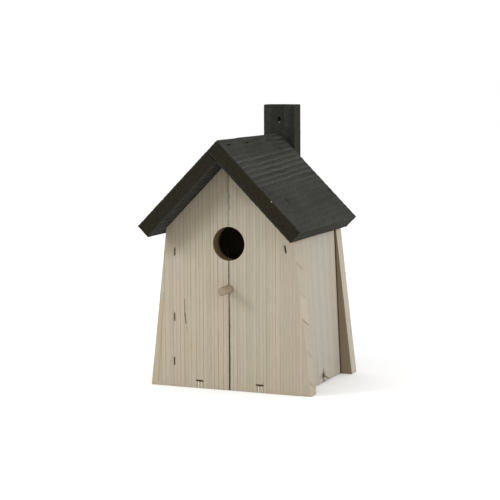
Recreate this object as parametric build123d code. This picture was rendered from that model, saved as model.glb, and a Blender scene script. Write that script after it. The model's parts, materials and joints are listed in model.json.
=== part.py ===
from build123d import *
import math
import os

# A wooden nest box. +X is the right-hand side seen from the front, +Y runs to the
# back, +Z is up. The origin is under the middle of the whole object, at its foot.
# All lengths are in millimetres, all angles in degrees.

# ---- driving dimensions ------------------------------------------------------------

BOARD = 14.0                    # thickness of the front, back, side and floor boards
CHAMBER_DEPTH = 102.0           # clear depth between the front and the back boards
FOOT_WIDTH = 165.0              # front and back at the foot, both boards together
SHOULDER_WIDTH = 129.4          # the same where the 45 degree gable starts
APEX_HEIGHT = 217.5             # underside of the roof on the centre line
SEAM_GAP_FOOT = 0.9             # gap between the two boards of the front and back
SEAM_GAP_TOP = 0.05

ROOF_THICKNESS = 15.0
ROOF_SLOPE_LENGTH = 101.5       # underside, from the centre line down to the eave
ROOF_OVERHANG = 26.0            # roof in front of the front boards

ENTRANCE_RADIUS = 16.0
ENTRANCE_HEIGHT = 140.0
PERCH_RADIUS = 4.0
PERCH_HEIGHT = 97.0
PERCH_REACH = 18.5              # dowel in front of the front boards
PERCH_CHAMFER = 0.4
GLUE_GAP = 0.05                 # radial room round a dowel, screw or nail that is fixed

WALL_FOOT_OFFSET = 70.5         # centre line to the outer face of a side wall, at the foot
WALL_LEAN = 0.047               # inward lean of a side wall, per unit of height
DOOR_SIDE_GAP = 1.0             # door edge to the front and back boards
DOOR_TOP_GAP = 1.0              # door to the underside of the roof, square to the roof
DOOR_FOOT_GAP = 1.0             # door above the foot of the box
DOOR_FLOOR_GAP = 0.3            # door to the edge of the floor

BATTEN_WIDTH = 34.0
BATTEN_THICKNESS = 16.0
BATTEN_HEIGHT = 267.0
HANGING_HOLE_RADIUS = 2.0
HANGING_HOLE_HEIGHT = 252.3

STAPLE_CROWN = 7.0              # outer width over the two legs
STAPLE_WIRE = 1.1
STAPLE_LENGTH = 29.0
STAPLE_SUNK = 0.4               # crown below the surface of the board
STAPLE_POINT = 2.0              # chisel point at the end of each leg
CUT_CLEARANCE = 1.0             # how far a cut runs out beyond the surface it starts in

PIVOT_HEIGHT = 137.0
PIVOT_RADIUS = 1.0
PIVOT_LENGTH = 32.0
PIVOT_RUNNING_GAP = 0.08        # radial, nail in the door
PIVOT_HEAD = (7.0, 1.4, 1.2)    # bar-shaped head: length, width, thickness
PIVOT_HEAD_TILT = 8.0           # head turned from upright, towards the centre at its top

LOCK_SCREW_RADIUS = 1.5
LOCK_SCREW_HEAD_RADIUS = 3.0
LOCK_SCREW_LENGTH = 22.0
LOCK_SCREW_SUNK = 0.4
LOCK_SCREW_RECESS = (3.6, 1.2)  # cross slot: length, depth
LOCK_SCREW_OFFSET = 2.5         # behind the middle of the door
LOCK_SCREW_RUNNING_GAP = 0.1    # radial, screw in the door
LOCK_SCREW_FLOOR_GAP = 0.5      # radial, screw in the floor

BATTEN_SCREW_RADIUS = 1.75
BATTEN_SCREW_HEAD_RADIUS = 3.4
BATTEN_SCREW_LENGTH = 26.0
BATTEN_SCREW_RECESS = (4.0, 1.4)
BATTEN_SCREW_SPREAD = 9.0       # centre line to each screw
BATTEN_SCREW_HEIGHTS = (40.0, 180.0)
SCREW_POINT = 4.0               # cone at the end of every screw

SIDE_STAPLES = ((56.0, 130.5), (56.8, 67.5), (57.4, 24.5))  # from the centre line, height
FLOOR_STAPLE_OFFSET = 31.0
RIDGE_STAPLE_SETBACKS = (15.0, 58.5, 112.0)                 # from the roof's front end
GABLE_STAPLE_DISTANCE = 66.0    # down the slope from the centre line, on the underside

# ---- worked out from them ----------------------------------------------------------

TOTAL_DEPTH = ROOF_OVERHANG + 2 * BOARD + CHAMBER_DEPTH + BATTEN_THICKNESS
FRONT_Y = ROOF_OVERHANG - TOTAL_DEPTH / 2       # outer face of the front boards
CHAMBER_FRONT_Y = FRONT_Y + BOARD
CHAMBER_BACK_Y = CHAMBER_FRONT_Y + CHAMBER_DEPTH
BACK_Y = CHAMBER_BACK_Y + BOARD                 # outer face of the back boards
ROOF_FRONT_Y = FRONT_Y - ROOF_OVERHANG
BATTEN_BACK_Y = BACK_Y + BATTEN_THICKNESS
ROOF_LENGTH = BACK_Y - ROOF_FRONT_Y
MIDDLE_Y = (CHAMBER_FRONT_Y + CHAMBER_BACK_Y) / 2

SHOULDER_HEIGHT = APEX_HEIGHT - SHOULDER_WIDTH / 2
LEAN_ANGLE = math.degrees(math.atan(WALL_LEAN))
WALL_WIDTH_LEVEL = BOARD * math.hypot(1, WALL_LEAN)         # wall thickness, measured level
PIVOT_X = WALL_FOOT_OFFSET - WALL_LEAN * PIVOT_HEIGHT - WALL_WIDTH_LEVEL / 2
LOCK_SCREW_HEIGHT = BOARD / 2

LEFT = -1
RIGHT = 1
INTO_BACK = (0, 1, 0)
INTO_FRONT = (0, -1, 0)
UPRIGHT = (0, 0, 1)
LEVEL = (1, 0, 0)


def prism(outline, start_y, length):
    """A straight board: an outline of (x, z) corners, run back along +Y."""
    corners = [(x, start_y, z) for x, z in outline]
    face = make_face(Polyline(*corners, close=True).edges())
    return extrude(face, amount=length, dir=INTO_BACK)


def rod(start, direction, radius, length):
    """A round bar from one point along a direction."""
    centre = Plane(origin=start, z_dir=direction)
    return centre * Cylinder(radius, length, align=(Align.CENTER, Align.CENTER, Align.MIN))


def roof_point(side, along, up):
    """A point by its distance down one roof slope and its height above the underside."""
    step = math.sqrt(0.5)
    x = side * (along + up) * step
    z = APEX_HEIGHT + (up - along) * step
    return x, z


# ---- boards ------------------------------------------------------------------------


def gable_board(side, start_y):
    """One board of the front or the back: wide at the foot, cut to the roof slope."""
    outline = [
        (side * SEAM_GAP_FOOT / 2, 0),
        (side * FOOT_WIDTH / 2, 0),
        (side * SHOULDER_WIDTH / 2, SHOULDER_HEIGHT),
        (side * SEAM_GAP_TOP / 2, APEX_HEIGHT - SEAM_GAP_TOP / 2),
    ]
    return prism(outline, start_y, BOARD)


def side_wall(side, foot, top_gap, end_gap):
    """A leaning side wall with its foot cut level and its top cut to the roof slope."""
    roof_line = APEX_HEIGHT - top_gap * math.sqrt(2)

    def face_line(offset):
        top_z = (roof_line - offset) / (1 - WALL_LEAN)
        bottom = (side * (offset - WALL_LEAN * foot), foot)
        top = (side * (offset - WALL_LEAN * top_z), top_z)
        return bottom, top

    outer_bottom, outer_top = face_line(WALL_FOOT_OFFSET)
    inner_bottom, inner_top = face_line(WALL_FOOT_OFFSET - WALL_WIDTH_LEVEL)
    outline = [inner_bottom, outer_bottom, outer_top, inner_top]
    return prism(outline, CHAMBER_FRONT_Y + end_gap, CHAMBER_DEPTH - 2 * end_gap)


def floor():
    """The floor, its edges cut to the lean of the side walls."""
    inner = WALL_FOOT_OFFSET - WALL_WIDTH_LEVEL
    gap = DOOR_FLOOR_GAP
    outline = [
        (-inner, 0),
        (inner - gap, 0),
        (inner - gap - WALL_LEAN * BOARD, BOARD),
        (-inner + WALL_LEAN * BOARD, BOARD),
    ]
    return prism(outline, CHAMBER_FRONT_Y, CHAMBER_DEPTH)


def roof_board(side, start):
    """A roof board from one distance up the slope down to the eave, ends cut square."""
    corners = [
        roof_point(side, start, 0),
        roof_point(side, ROOF_SLOPE_LENGTH, 0),
        roof_point(side, ROOF_SLOPE_LENGTH, ROOF_THICKNESS),
        roof_point(side, start, ROOF_THICKNESS),
    ]
    return prism(corners, ROOF_FRONT_Y, ROOF_LENGTH)


def batten():
    """The hanging batten, from the foot to well above the ridge, with its hole."""
    half = BATTEN_WIDTH / 2
    outline = [(-half, 0), (half, 0), (half, BATTEN_HEIGHT), (-half, BATTEN_HEIGHT)]
    hole = rod((0, BACK_Y, HANGING_HOLE_HEIGHT), INTO_BACK, HANGING_HOLE_RADIUS, BATTEN_THICKNESS)
    return prism(outline, BACK_Y, BATTEN_THICKNESS) - hole


# ---- fasteners ---------------------------------------------------------------------


def staple_outline(crown_top, leg_end):
    """Outline of a staple across its crown: two pointed legs below a straight crown."""
    outer = STAPLE_CROWN / 2
    inner = outer - STAPLE_WIRE
    crown_under = -STAPLE_SUNK - STAPLE_WIRE
    point = leg_end + STAPLE_POINT
    return [
        (-outer, crown_top),
        (-outer, point),
        (-inner, leg_end),
        (-inner, crown_under),
        (inner, crown_under),
        (inner, leg_end),
        (outer, point),
        (outer, crown_top),
    ]


def staple_body(at, crown, inward, crown_top):
    """A staple's solid with its crown along one direction and its legs along inward."""
    place = Plane(origin=at, x_dir=crown, z_dir=Vector(*inward) * -1)
    outline = staple_outline(crown_top, -STAPLE_SUNK - STAPLE_LENGTH)
    corners = [place.from_local_coords((x, -STAPLE_WIRE / 2, z)) for x, z in outline]
    face = make_face(Polyline(*corners, close=True).edges())
    return extrude(face, amount=STAPLE_WIRE, dir=place.y_dir)


def staple(at, crown, inward):
    return staple_body(at, crown, inward, -STAPLE_SUNK)


def staple_pocket(at, crown, inward):
    """What a staple takes out of the boards, open to the surface above its crown."""
    return staple_body(at, crown, inward, CUT_CLEARANCE)


def countersunk_screw(radius, head_radius, length):
    """A screw pointing down -Z, its head's top at the origin, without its recess."""
    outline = [
        (0, 0, 0),
        (head_radius, 0, 0),
        (radius, 0, radius - head_radius),
        (radius, 0, SCREW_POINT - length),
        (0, 0, -length),
    ]
    return revolve(make_face(Polyline(*outline, close=True).edges()), Axis.Z, 360)


def cross_recess(size, depth):
    """The cross slot in a screw's head."""
    bar = Box(size, size / 5, depth * 2)
    return bar + Rot(0, 0, 90) * bar


def pivot_head(y, inward):
    """The bar-shaped head of a door pivot, its outer face flush with the board."""
    length, width, thickness = PIVOT_HEAD
    middle = (PIVOT_X, y + inward[1] * thickness / 2, PIVOT_HEIGHT)
    return Location(middle, (0, -PIVOT_HEAD_TILT, 0)) * Box(width, thickness, length)


def pivot_nail(y, inward):
    """A door pivot: a round shank under its bar-shaped head."""
    return pivot_head(y, inward) + rod((PIVOT_X, y, PIVOT_HEIGHT), inward, PIVOT_RADIUS, PIVOT_LENGTH)


def pivot_hole(y, inward, gap):
    """The room for a pivot nail: its head's slot and a round hole with a radial gap."""
    start = (PIVOT_X, y, PIVOT_HEIGHT)
    return pivot_head(y, inward) + rod(start, inward, PIVOT_RADIUS + gap, PIVOT_LENGTH + CUT_CLEARANCE)


# ---- places of the fasteners -------------------------------------------------------


def face_staples(places, y, crown, inward):
    """(position, crown direction, inward direction) for staples on the front or back."""
    return [((x, y, z), crown, inward) for x, z in places]


def roof_staples(side, distances, setbacks, crown):
    """Staples driven square through a roof board, by distance down and setback."""
    step = math.sqrt(0.5)
    places = []
    for along in distances:
        for setback in setbacks:
            x, z = roof_point(side, along, ROOF_THICKNESS)
            places.append(((x, ROOF_FRONT_Y + setback, z), crown, (-side * step, 0, -step)))
    return places


side_places = [(-x, z) for x, z in SIDE_STAPLES]
floor_places = [(side * FLOOR_STAPLE_OFFSET, BOARD / 2) for side in (LEFT, RIGHT)]
gable_setbacks = (ROOF_OVERHANG + BOARD / 2, ROOF_LENGTH - BOARD / 2)
down_right = (math.sqrt(0.5), 0, -math.sqrt(0.5))
down_left = (-math.sqrt(0.5), 0, -math.sqrt(0.5))

staple_groups = {
    "side_wall_staples_front": face_staples(side_places, FRONT_Y, UPRIGHT, INTO_BACK),
    "side_wall_staples_back": face_staples(side_places, BACK_Y, UPRIGHT, INTO_FRONT),
    "floor_staples_front": face_staples(floor_places, FRONT_Y, LEVEL, INTO_BACK),
    "floor_staples_back": face_staples(floor_places, BACK_Y, LEVEL, INTO_FRONT),
    "ridge_staples": roof_staples(RIGHT, (-ROOF_THICKNESS / 2,), RIDGE_STAPLE_SETBACKS, INTO_BACK),
    "roof_staples_right": roof_staples(RIGHT, (GABLE_STAPLE_DISTANCE,), gable_setbacks, down_right),
    "roof_staples_left": roof_staples(LEFT, (GABLE_STAPLE_DISTANCE,), gable_setbacks, down_left),
}

# ---- the boards, before the fasteners are let in -----------------------------------

parts = {
    "front_board_left": gable_board(LEFT, FRONT_Y),
    "front_board_right": gable_board(RIGHT, FRONT_Y),
    "back_board_left": gable_board(LEFT, CHAMBER_BACK_Y),
    "back_board_right": gable_board(RIGHT, CHAMBER_BACK_Y),
    "side_wall_left": side_wall(LEFT, 0, 0, 0),
    "cleaning_door": side_wall(RIGHT, DOOR_FOOT_GAP, DOOR_TOP_GAP, DOOR_SIDE_GAP),
    "floor_board": floor(),
    "roof_board_left": roof_board(LEFT, 0),
    "roof_board_right": roof_board(RIGHT, -ROOF_THICKNESS),
    "hanging_batten": batten(),
}

# ---- entrance hole and perch -------------------------------------------------------

entrance = rod((0, FRONT_Y, ENTRANCE_HEIGHT), INTO_BACK, ENTRANCE_RADIUS, BOARD)
perch_hole = rod((0, FRONT_Y, PERCH_HEIGHT), INTO_BACK, PERCH_RADIUS + GLUE_GAP, BOARD)
for name in ("front_board_left", "front_board_right"):
    parts[name] = parts[name] - entrance - perch_hole

perch = rod((0, FRONT_Y - PERCH_REACH, PERCH_HEIGHT), INTO_BACK, PERCH_RADIUS, PERCH_REACH + BOARD)
perch_end = perch.faces().sort_by(Axis.Y)[0].edges()
parts["perch_dowel"] = chamfer(perch_end, PERCH_CHAMFER)

# ---- staples -----------------------------------------------------------------------

stapled_boards = {
    "side_wall_staples_front": ("front_board_left", "side_wall_left"),
    "side_wall_staples_back": ("back_board_left", "side_wall_left"),
    "floor_staples_front": ("front_board_left", "front_board_right", "floor_board"),
    "floor_staples_back": ("back_board_left", "back_board_right", "floor_board"),
    "ridge_staples": ("roof_board_right", "roof_board_left"),
    "roof_staples_right": ("roof_board_right", "front_board_right", "back_board_right"),
    "roof_staples_left": ("roof_board_left", "front_board_left", "back_board_left"),
}
for group, places in staple_groups.items():
    parts[group] = Compound(children=[staple(*place) for place in places])
    for name in stapled_boards[group]:
        for place in places:
            parts[name] = parts[name] - staple_pocket(*place)

# ---- door pivots -------------------------------------------------------------------

parts["door_pivot_nail_front"] = pivot_nail(FRONT_Y, INTO_BACK)
parts["door_pivot_nail_back"] = pivot_nail(BACK_Y, INTO_FRONT)
for y, inward, board in (
    (FRONT_Y, INTO_BACK, "front_board_right"),
    (BACK_Y, INTO_FRONT, "back_board_right"),
):
    parts[board] = parts[board] - pivot_hole(y, inward, GLUE_GAP)
    parts["cleaning_door"] = parts["cleaning_door"] - pivot_hole(y, inward, PIVOT_RUNNING_GAP)

# ---- lock screw: through the door, square to it, into the edge of the floor --------

lock_x = WALL_FOOT_OFFSET - WALL_LEAN * LOCK_SCREW_HEIGHT
lock_out = Vector(math.cos(math.radians(LEAN_ANGLE)), 0, math.sin(math.radians(LEAN_ANGLE)))
lock_head = Vector(lock_x, MIDDLE_Y + LOCK_SCREW_OFFSET, LOCK_SCREW_HEIGHT) - lock_out * LOCK_SCREW_SUNK
lock_place = Plane(origin=lock_head, z_dir=lock_out)

lock_screw = countersunk_screw(LOCK_SCREW_RADIUS, LOCK_SCREW_HEAD_RADIUS, LOCK_SCREW_LENGTH)
parts["door_lock_screw"] = lock_place * (lock_screw - cross_recess(*LOCK_SCREW_RECESS))

gap = LOCK_SCREW_RUNNING_GAP
door_hole = countersunk_screw(LOCK_SCREW_RADIUS + gap, LOCK_SCREW_HEAD_RADIUS + gap, LOCK_SCREW_LENGTH)
head_room = Cylinder(
    LOCK_SCREW_HEAD_RADIUS + gap,
    CUT_CLEARANCE,
    align=(Align.CENTER, Align.CENTER, Align.MIN),
)
parts["cleaning_door"] = parts["cleaning_door"] - lock_place * (door_hole + head_room)

floor_hole = rod(
    lock_head,
    lock_out * -1,
    LOCK_SCREW_RADIUS + LOCK_SCREW_FLOOR_GAP,
    LOCK_SCREW_LENGTH + CUT_CLEARANCE,
)
parts["floor_board"] = parts["floor_board"] - floor_hole

# ---- batten screws: from the back, through the batten, into both back boards -------

batten_screws = []
for x in (-BATTEN_SCREW_SPREAD, BATTEN_SCREW_SPREAD):
    for z in BATTEN_SCREW_HEIGHTS:
        place = Plane(origin=(x, BATTEN_BACK_Y, z), z_dir=(0, 1, 0))
        screw = countersunk_screw(
            BATTEN_SCREW_RADIUS, BATTEN_SCREW_HEAD_RADIUS, BATTEN_SCREW_LENGTH
        )
        hole = countersunk_screw(
            BATTEN_SCREW_RADIUS + GLUE_GAP,
            BATTEN_SCREW_HEAD_RADIUS + GLUE_GAP,
            BATTEN_SCREW_LENGTH + GLUE_GAP,
        )
        batten_screws.append(place * (screw - cross_recess(*BATTEN_SCREW_RECESS)))
        for name in ("hanging_batten", "back_board_left", "back_board_right"):
            parts[name] = parts[name] - place * hole
parts["batten_screws"] = Compound(children=batten_screws)

# ---- write -------------------------------------------------------------------------

os.makedirs("parts", exist_ok=True)
for name, shape in parts.items():
    export_step(shape, f"parts/{name}.step")

print(f"front face y {FRONT_Y:.2f}, chamber y {CHAMBER_FRONT_Y:.2f} to {CHAMBER_BACK_Y:.2f}")
print(f"batten back y {BATTEN_BACK_Y:.2f}, pivot x {PIVOT_X:.3f}, middle y {MIDDLE_Y:.2f}")
print(f"lock axis {lock_out}, lock head {lock_head}")
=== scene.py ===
import json
import math

import bmesh
import bpy
import numpy as np
from mathutils import Matrix, Vector, geometry, noise


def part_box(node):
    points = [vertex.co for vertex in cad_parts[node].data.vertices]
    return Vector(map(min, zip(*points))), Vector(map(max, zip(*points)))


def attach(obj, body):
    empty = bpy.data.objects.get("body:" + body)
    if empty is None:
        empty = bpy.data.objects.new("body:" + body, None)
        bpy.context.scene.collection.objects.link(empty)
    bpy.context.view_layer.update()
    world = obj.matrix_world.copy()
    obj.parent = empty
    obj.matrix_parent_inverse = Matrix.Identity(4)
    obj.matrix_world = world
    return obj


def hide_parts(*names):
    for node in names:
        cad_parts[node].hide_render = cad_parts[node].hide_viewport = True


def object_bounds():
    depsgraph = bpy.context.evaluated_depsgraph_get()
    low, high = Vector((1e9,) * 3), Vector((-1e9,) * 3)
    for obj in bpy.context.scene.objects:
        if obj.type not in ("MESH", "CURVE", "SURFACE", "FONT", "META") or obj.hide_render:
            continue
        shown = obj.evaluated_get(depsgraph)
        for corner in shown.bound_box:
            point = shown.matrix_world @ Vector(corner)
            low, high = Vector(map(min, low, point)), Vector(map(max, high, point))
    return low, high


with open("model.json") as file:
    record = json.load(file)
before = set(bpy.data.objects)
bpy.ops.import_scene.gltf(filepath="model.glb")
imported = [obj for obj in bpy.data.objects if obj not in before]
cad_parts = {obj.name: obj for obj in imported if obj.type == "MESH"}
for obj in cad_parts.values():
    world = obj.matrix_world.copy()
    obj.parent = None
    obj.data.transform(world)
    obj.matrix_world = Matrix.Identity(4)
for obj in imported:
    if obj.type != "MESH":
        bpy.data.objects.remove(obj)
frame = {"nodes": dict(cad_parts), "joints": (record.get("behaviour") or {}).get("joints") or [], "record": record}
cad_low, cad_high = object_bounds()

# Lengths are in millimetres, and are turned into metres as each mesh is written.
MM = 0.001

# ---- sizes of the finished pieces --------------------------------------------------

ENTRANCE_RADIUS = 16.0
PERCH_HOLE_RADIUS = 4.05
HANGING_HOLE_RADIUS = 2.0

PLANED_ARRIS = 0.45             # rounding of the long edges of the pale boards
STAINED_ARRIS = 0.8             # the same on the roof and the batten
GRID_PLAIN = 2.2                # spacing of points on a planed face
GRID_RELIEF = 1.5               # spacing of points on a face with raised grain

SEAM_REACH = 1.5                # edges this near the centre line are the tight seam
SEAM_WEAR = 0.12
SEAM_HALF_GAPS = (0.2, 0.02)    # below and above the entrance

STAPLE_CROWN = 7.0
STAPLE_WIRE = 1.1
STAPLE_LENGTH = 28.0
SLOT_MARGIN = 0.12              # torn slot round a staple's crown
SLOT_DEPTH = 2.2
CROWN_SUNK = 0.6                # how far a crown was driven below the surface
SCREW_THREAD_PITCH = 1.6
SCREW_THREAD_DEPTH = 0.35
SCREW_POINT = 4.0
PIVOT_BAR = (6.9, 1.3, 1.2)     # length, width and thickness of a pivot's head
LOCK_SCREW = (3.0, 1.5, 22.0)   # head radius, shank radius, length
BATTEN_SCREW = (3.4, 1.75, 26.0)
PERCH_CHAMFER = 0.5
DOWEL_SIDES = 48
DOWEL_STEPS = 14                # rings along a dowel
DOWEL_UNEVEN = 0.012            # share of its radius that turning leaves uneven
PIVOT_SLOT = (7.3, 1.7)         # length and width of the slot over a pivot's head
LOCK_HEAD_HOLE = 3.15           # radius
LOCK_HOLE_DEPTH = 1.8
BATTEN_HEAD_HOLE = 3.7          # radius
BATTEN_HOLE_DEPTH = 2.2
HOLE_TAPER = 0.5                # how much of its width a screw's hole keeps at its floor
FRONT_THICKNESS = 14.0

# How deep the soft wood is sunk between the rings, and in broad hollows.
PALE_RELIEF = (0.03, 0.10)
ROOF_RELIEF = (0.26, 0.30)
BATTEN_RELIEF = (0.12, 0.15)

# ---- directions --------------------------------------------------------------------

RIGHT = Vector((1, 0, 0))
BACK = Vector((0, 1, 0))
UP = Vector((0, 0, 1))
SLOPE = math.sqrt(0.5)
RIGHT_ROOF_OUT = Vector((SLOPE, 0, SLOPE))
LEFT_ROOF_OUT = Vector((-SLOPE, 0, SLOPE))
DOWN_RIGHT = Vector((SLOPE, 0, -SLOPE))
DOWN_LEFT = Vector((-SLOPE, 0, -SLOPE))
LOCK_OUT = Vector(next(j for j in frame["joints"] if j["name"] == "lock_screw_out")["axis"])
LEFT_WALL_OUT = Vector((-LOCK_OUT.x, 0, LOCK_OUT.z))

# ---- reading the CAD parts ---------------------------------------------------------


def cad_points(node):
    """The points of a CAD node, in millimetres."""
    return [v.co / MM for v in frame["nodes"][node].data.vertices]


def box_middle(node):
    low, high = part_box(node)
    return (low + high) / 2 / MM


def front_outline(node):
    """The corners of a board seen from the front, as (x, z), anticlockwise."""
    flat = {(round(p.x, 3), round(p.z, 3)) for p in cad_points(node)}
    flat = [Vector(p) for p in sorted(flat)]
    hull = [flat[i] for i in geometry.convex_hull_2d(flat)]
    corners = []
    for before, here, after in zip(hull[-1:] + hull[:-1], hull, hull[1:] + hull[:1]):
        turn = (here - before).normalized().cross((after - here).normalized())
        if abs(turn) > 0.02:
            corners.append(here)
    area = sum(a.cross(b) for a, b in zip(corners, corners[1:] + corners[:1]))
    return corners if area > 0 else corners[::-1]


def islands(node):
    """The separate solids of a CAD node, each a list of points in millimetres."""
    mesh = frame["nodes"][node].data
    key = [tuple(round(c, 6) for c in v.co) for v in mesh.vertices]
    root = {k: k for k in key}

    def find(k):
        while root[k] != k:
            root[k] = root[root[k]]
            k = root[k]
        return k

    for polygon in mesh.polygons:
        first = key[polygon.vertices[0]]
        for index in polygon.vertices[1:]:
            root[find(key[index])] = find(first)
    groups = {}
    for k in root:
        groups.setdefault(find(k), []).append(Vector(k) / MM)
    return [groups[k] for k in sorted(groups)]


def surface_seats(node, inward):
    """Where each fastener of a CAD node meets the surface: the middle of its outer end."""
    seats = []
    for points in islands(node):
        depth = min(p.dot(inward) for p in points)
        end = [p for p in points if p.dot(inward) < depth + 0.05]
        low = Vector([min(p[i] for p in end) for i in range(3)])
        high = Vector([max(p[i] for p in end) for i in range(3)])
        seats.append((low + high) / 2)
    return seats


# ---- outlines: runs of straight line and arc, joined by small rounded corners -------


def straight_run(a, b):
    along = b - a
    out = Vector((along.y, -along.x)).normalized()
    return along.length, lambda t: a + along * t, lambda t: out


def arc_run(centre, radius, start, end):
    """A run round a notch: the board lies outside the arc, so out is to its centre."""

    def direction(t):
        angle = start + (end - start) * t
        return Vector((math.cos(angle), math.sin(angle)))

    length = abs(end - start) * radius
    return length, lambda t: centre + direction(t) * radius, lambda t: -direction(t)


def straight_runs(corners):
    return [straight_run(a, b) for a, b in zip(corners, corners[1:] + corners[:1])]


def tight_above(corners, foot, top):
    """The outline with its seam edge closed up above the entrance, between two heights."""
    tight = []
    for a, b in zip(corners, corners[1:] + corners[:1]):
        tight.append(a)
        if abs(a.x) < SEAM_REACH and abs(b.x) < SEAM_REACH:
            side = math.copysign(1, a.x + b.x)
            places = [Vector((side * SEAM_HALF_GAPS[0], foot)), Vector((side * SEAM_HALF_GAPS[1], top))]
            tight += places if b.y > a.y else places[::-1]
    return tight


def notched_runs(corners, notches):
    """Straight runs, with half-round notches cut in the edge along the centre seam."""
    runs = []
    for a, b in zip(corners, corners[1:] + corners[:1]):
        if abs(a.x) > 2 or abs(b.x) > 2:
            runs.append(straight_run(a, b))
            continue
        along = (b - a).normalized()
        here = a
        for height, radius in sorted(notches, key=lambda n: (n[0] - a.y) * along.y):
            if not min(a.y, b.y) < height < max(a.y, b.y):
                continue
            centre = Vector((0, height))
            foot = a + along * (centre - a).dot(along)
            half = math.sqrt(radius**2 - (foot - centre).length ** 2)
            entry, leave = foot - along * half, foot + along * half
            start = math.atan2(entry.y - height, entry.x)
            end = math.atan2(leave.y - height, leave.x)
            while end > start:
                end -= 2 * math.pi
            runs.append(straight_run(here, entry))
            runs.append(arc_run(centre, radius, start, end))
            here = leave
        runs.append(straight_run(here, b))
    return runs


def walk_round(runs, corner, spacing, counts=None):
    """Points round an outline with their outward directions, and each run's count."""
    points, outs, used = [], [], []
    turns = []
    for i, run in enumerate(runs):
        before, after = runs[i - 1][2](1), run[2](0)
        turns.append(max(-0.99, min(1, before.dot(after))))
    for i, (length, point_at, out_at) in enumerate(runs):
        before, after = runs[i - 1][2](1), out_at(0)
        centre = point_at(0) - (before + after) * (corner / (1 + turns[i]))
        for step in range(4):
            out = before.lerp(after, step / 3).normalized()
            points.append(centre + out * corner)
            outs.append(out)
        start_trim = corner * math.tan(math.acos(turns[i]) / 2) / length
        end_trim = corner * math.tan(math.acos(turns[(i + 1) % len(runs)]) / 2) / length
        count = counts[i] if counts else max(2, round(length / spacing))
        used.append(count)
        for step in range(1, count):
            t = start_trim + (1 - start_trim - end_trim) * step / count
            points.append(point_at(t))
            outs.append(out_at(t))
    return np.array(points), np.array(outs), used


# ---- cuts in the faces of a board --------------------------------------------------


def ring(centre, radius, count=40):
    steps = [2 * math.pi * k / count for k in range(count)]
    return [Vector((centre[0] + radius * math.cos(a), centre[1] + radius * math.sin(a))) for a in steps]


def torn_slot(centre, along, length, width, seed):
    """The slot a crown leaves: longer than wide, its ends round, its sides ragged."""
    across = Vector((-along.y, along.x))
    points = []
    count = 36
    for k in range(count):
        angle = 2 * math.pi * k / count
        u = math.copysign(abs(math.cos(angle)) ** 0.35, math.cos(angle)) * length / 2
        v = math.copysign(abs(math.sin(angle)) ** 0.6, math.sin(angle)) * width / 2
        ragged = 1 + 0.28 * noise.noise(Vector((u * 0.9, v * 2.0, seed)))
        points.append(Vector(centre) + along * u * (1 + 0.3 * (ragged - 1)) + across * v * ragged)
    return points


# ---- boards ------------------------------------------------------------------------


def odd_crossings(points, loops):
    """True for each point that an odd number of the loops goes round."""
    inside = np.zeros(len(points), bool)
    for loop in loops:
        loop = np.asarray(loop)
        ahead = np.roll(loop, -1, axis=0)
        for (ax, ay), (bx, by) in zip(loop, ahead):
            if ay == by:
                continue
            spans = (points[:, 1] > ay) != (points[:, 1] > by)
            meets = ax + (points[:, 1] - ay) * (bx - ax) / (by - ay)
            inside ^= spans & (points[:, 0] < meets)
    return inside


def clearance(points, loops):
    """The distance from each point to the nearest point of the loops."""
    edge = np.concatenate([np.asarray(loop) for loop in loops])
    nearest = np.full(len(points), 1e9)
    for start in range(0, len(edge), 64):
        part = edge[start:start + 64]
        gap = np.hypot(points[:, None, 0] - part[:, 0], points[:, None, 1] - part[:, 1])
        nearest = np.minimum(nearest, gap.min(axis=1))
    return nearest


def face_triangles(outline, cuts, spacing):
    """A flat face filled with even triangles, as points and triples of indices."""
    loops = [outline] + [np.array(cut) for cut in cuts]
    low, high = outline.min(axis=0), outline.max(axis=0)
    rows = np.arange(low[1] + spacing / 2, high[1], spacing * 0.87)
    grid = []
    for index, v in enumerate(rows):
        shift = spacing / 2 if index % 2 else 0
        row = np.arange(low[0] + spacing / 2 + shift, high[0], spacing)
        grid.append(np.column_stack([row, np.full(len(row), v)]))
    grid = np.concatenate(grid)
    grid = grid[odd_crossings(grid, loops)]
    grid = grid[clearance(grid, loops) > spacing * 0.55]
    edges, start = [], 0
    for loop in loops:
        count = len(loop)
        edges += [(start + k, start + (k + 1) % count) for k in range(count)]
        start += count
    flat = [Vector(p) for p in np.concatenate(loops + [grid])]
    points, _, triangles = geometry.delaunay_2d_cdt(flat, edges, [], 0, 1e-6, False)[:3]
    points = np.array(points)
    triangles = np.array([t for t in triangles if len(t) == 3])
    middles = points[triangles].mean(axis=1)
    return points, triangles[odd_crossings(middles, loops)]


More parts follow.
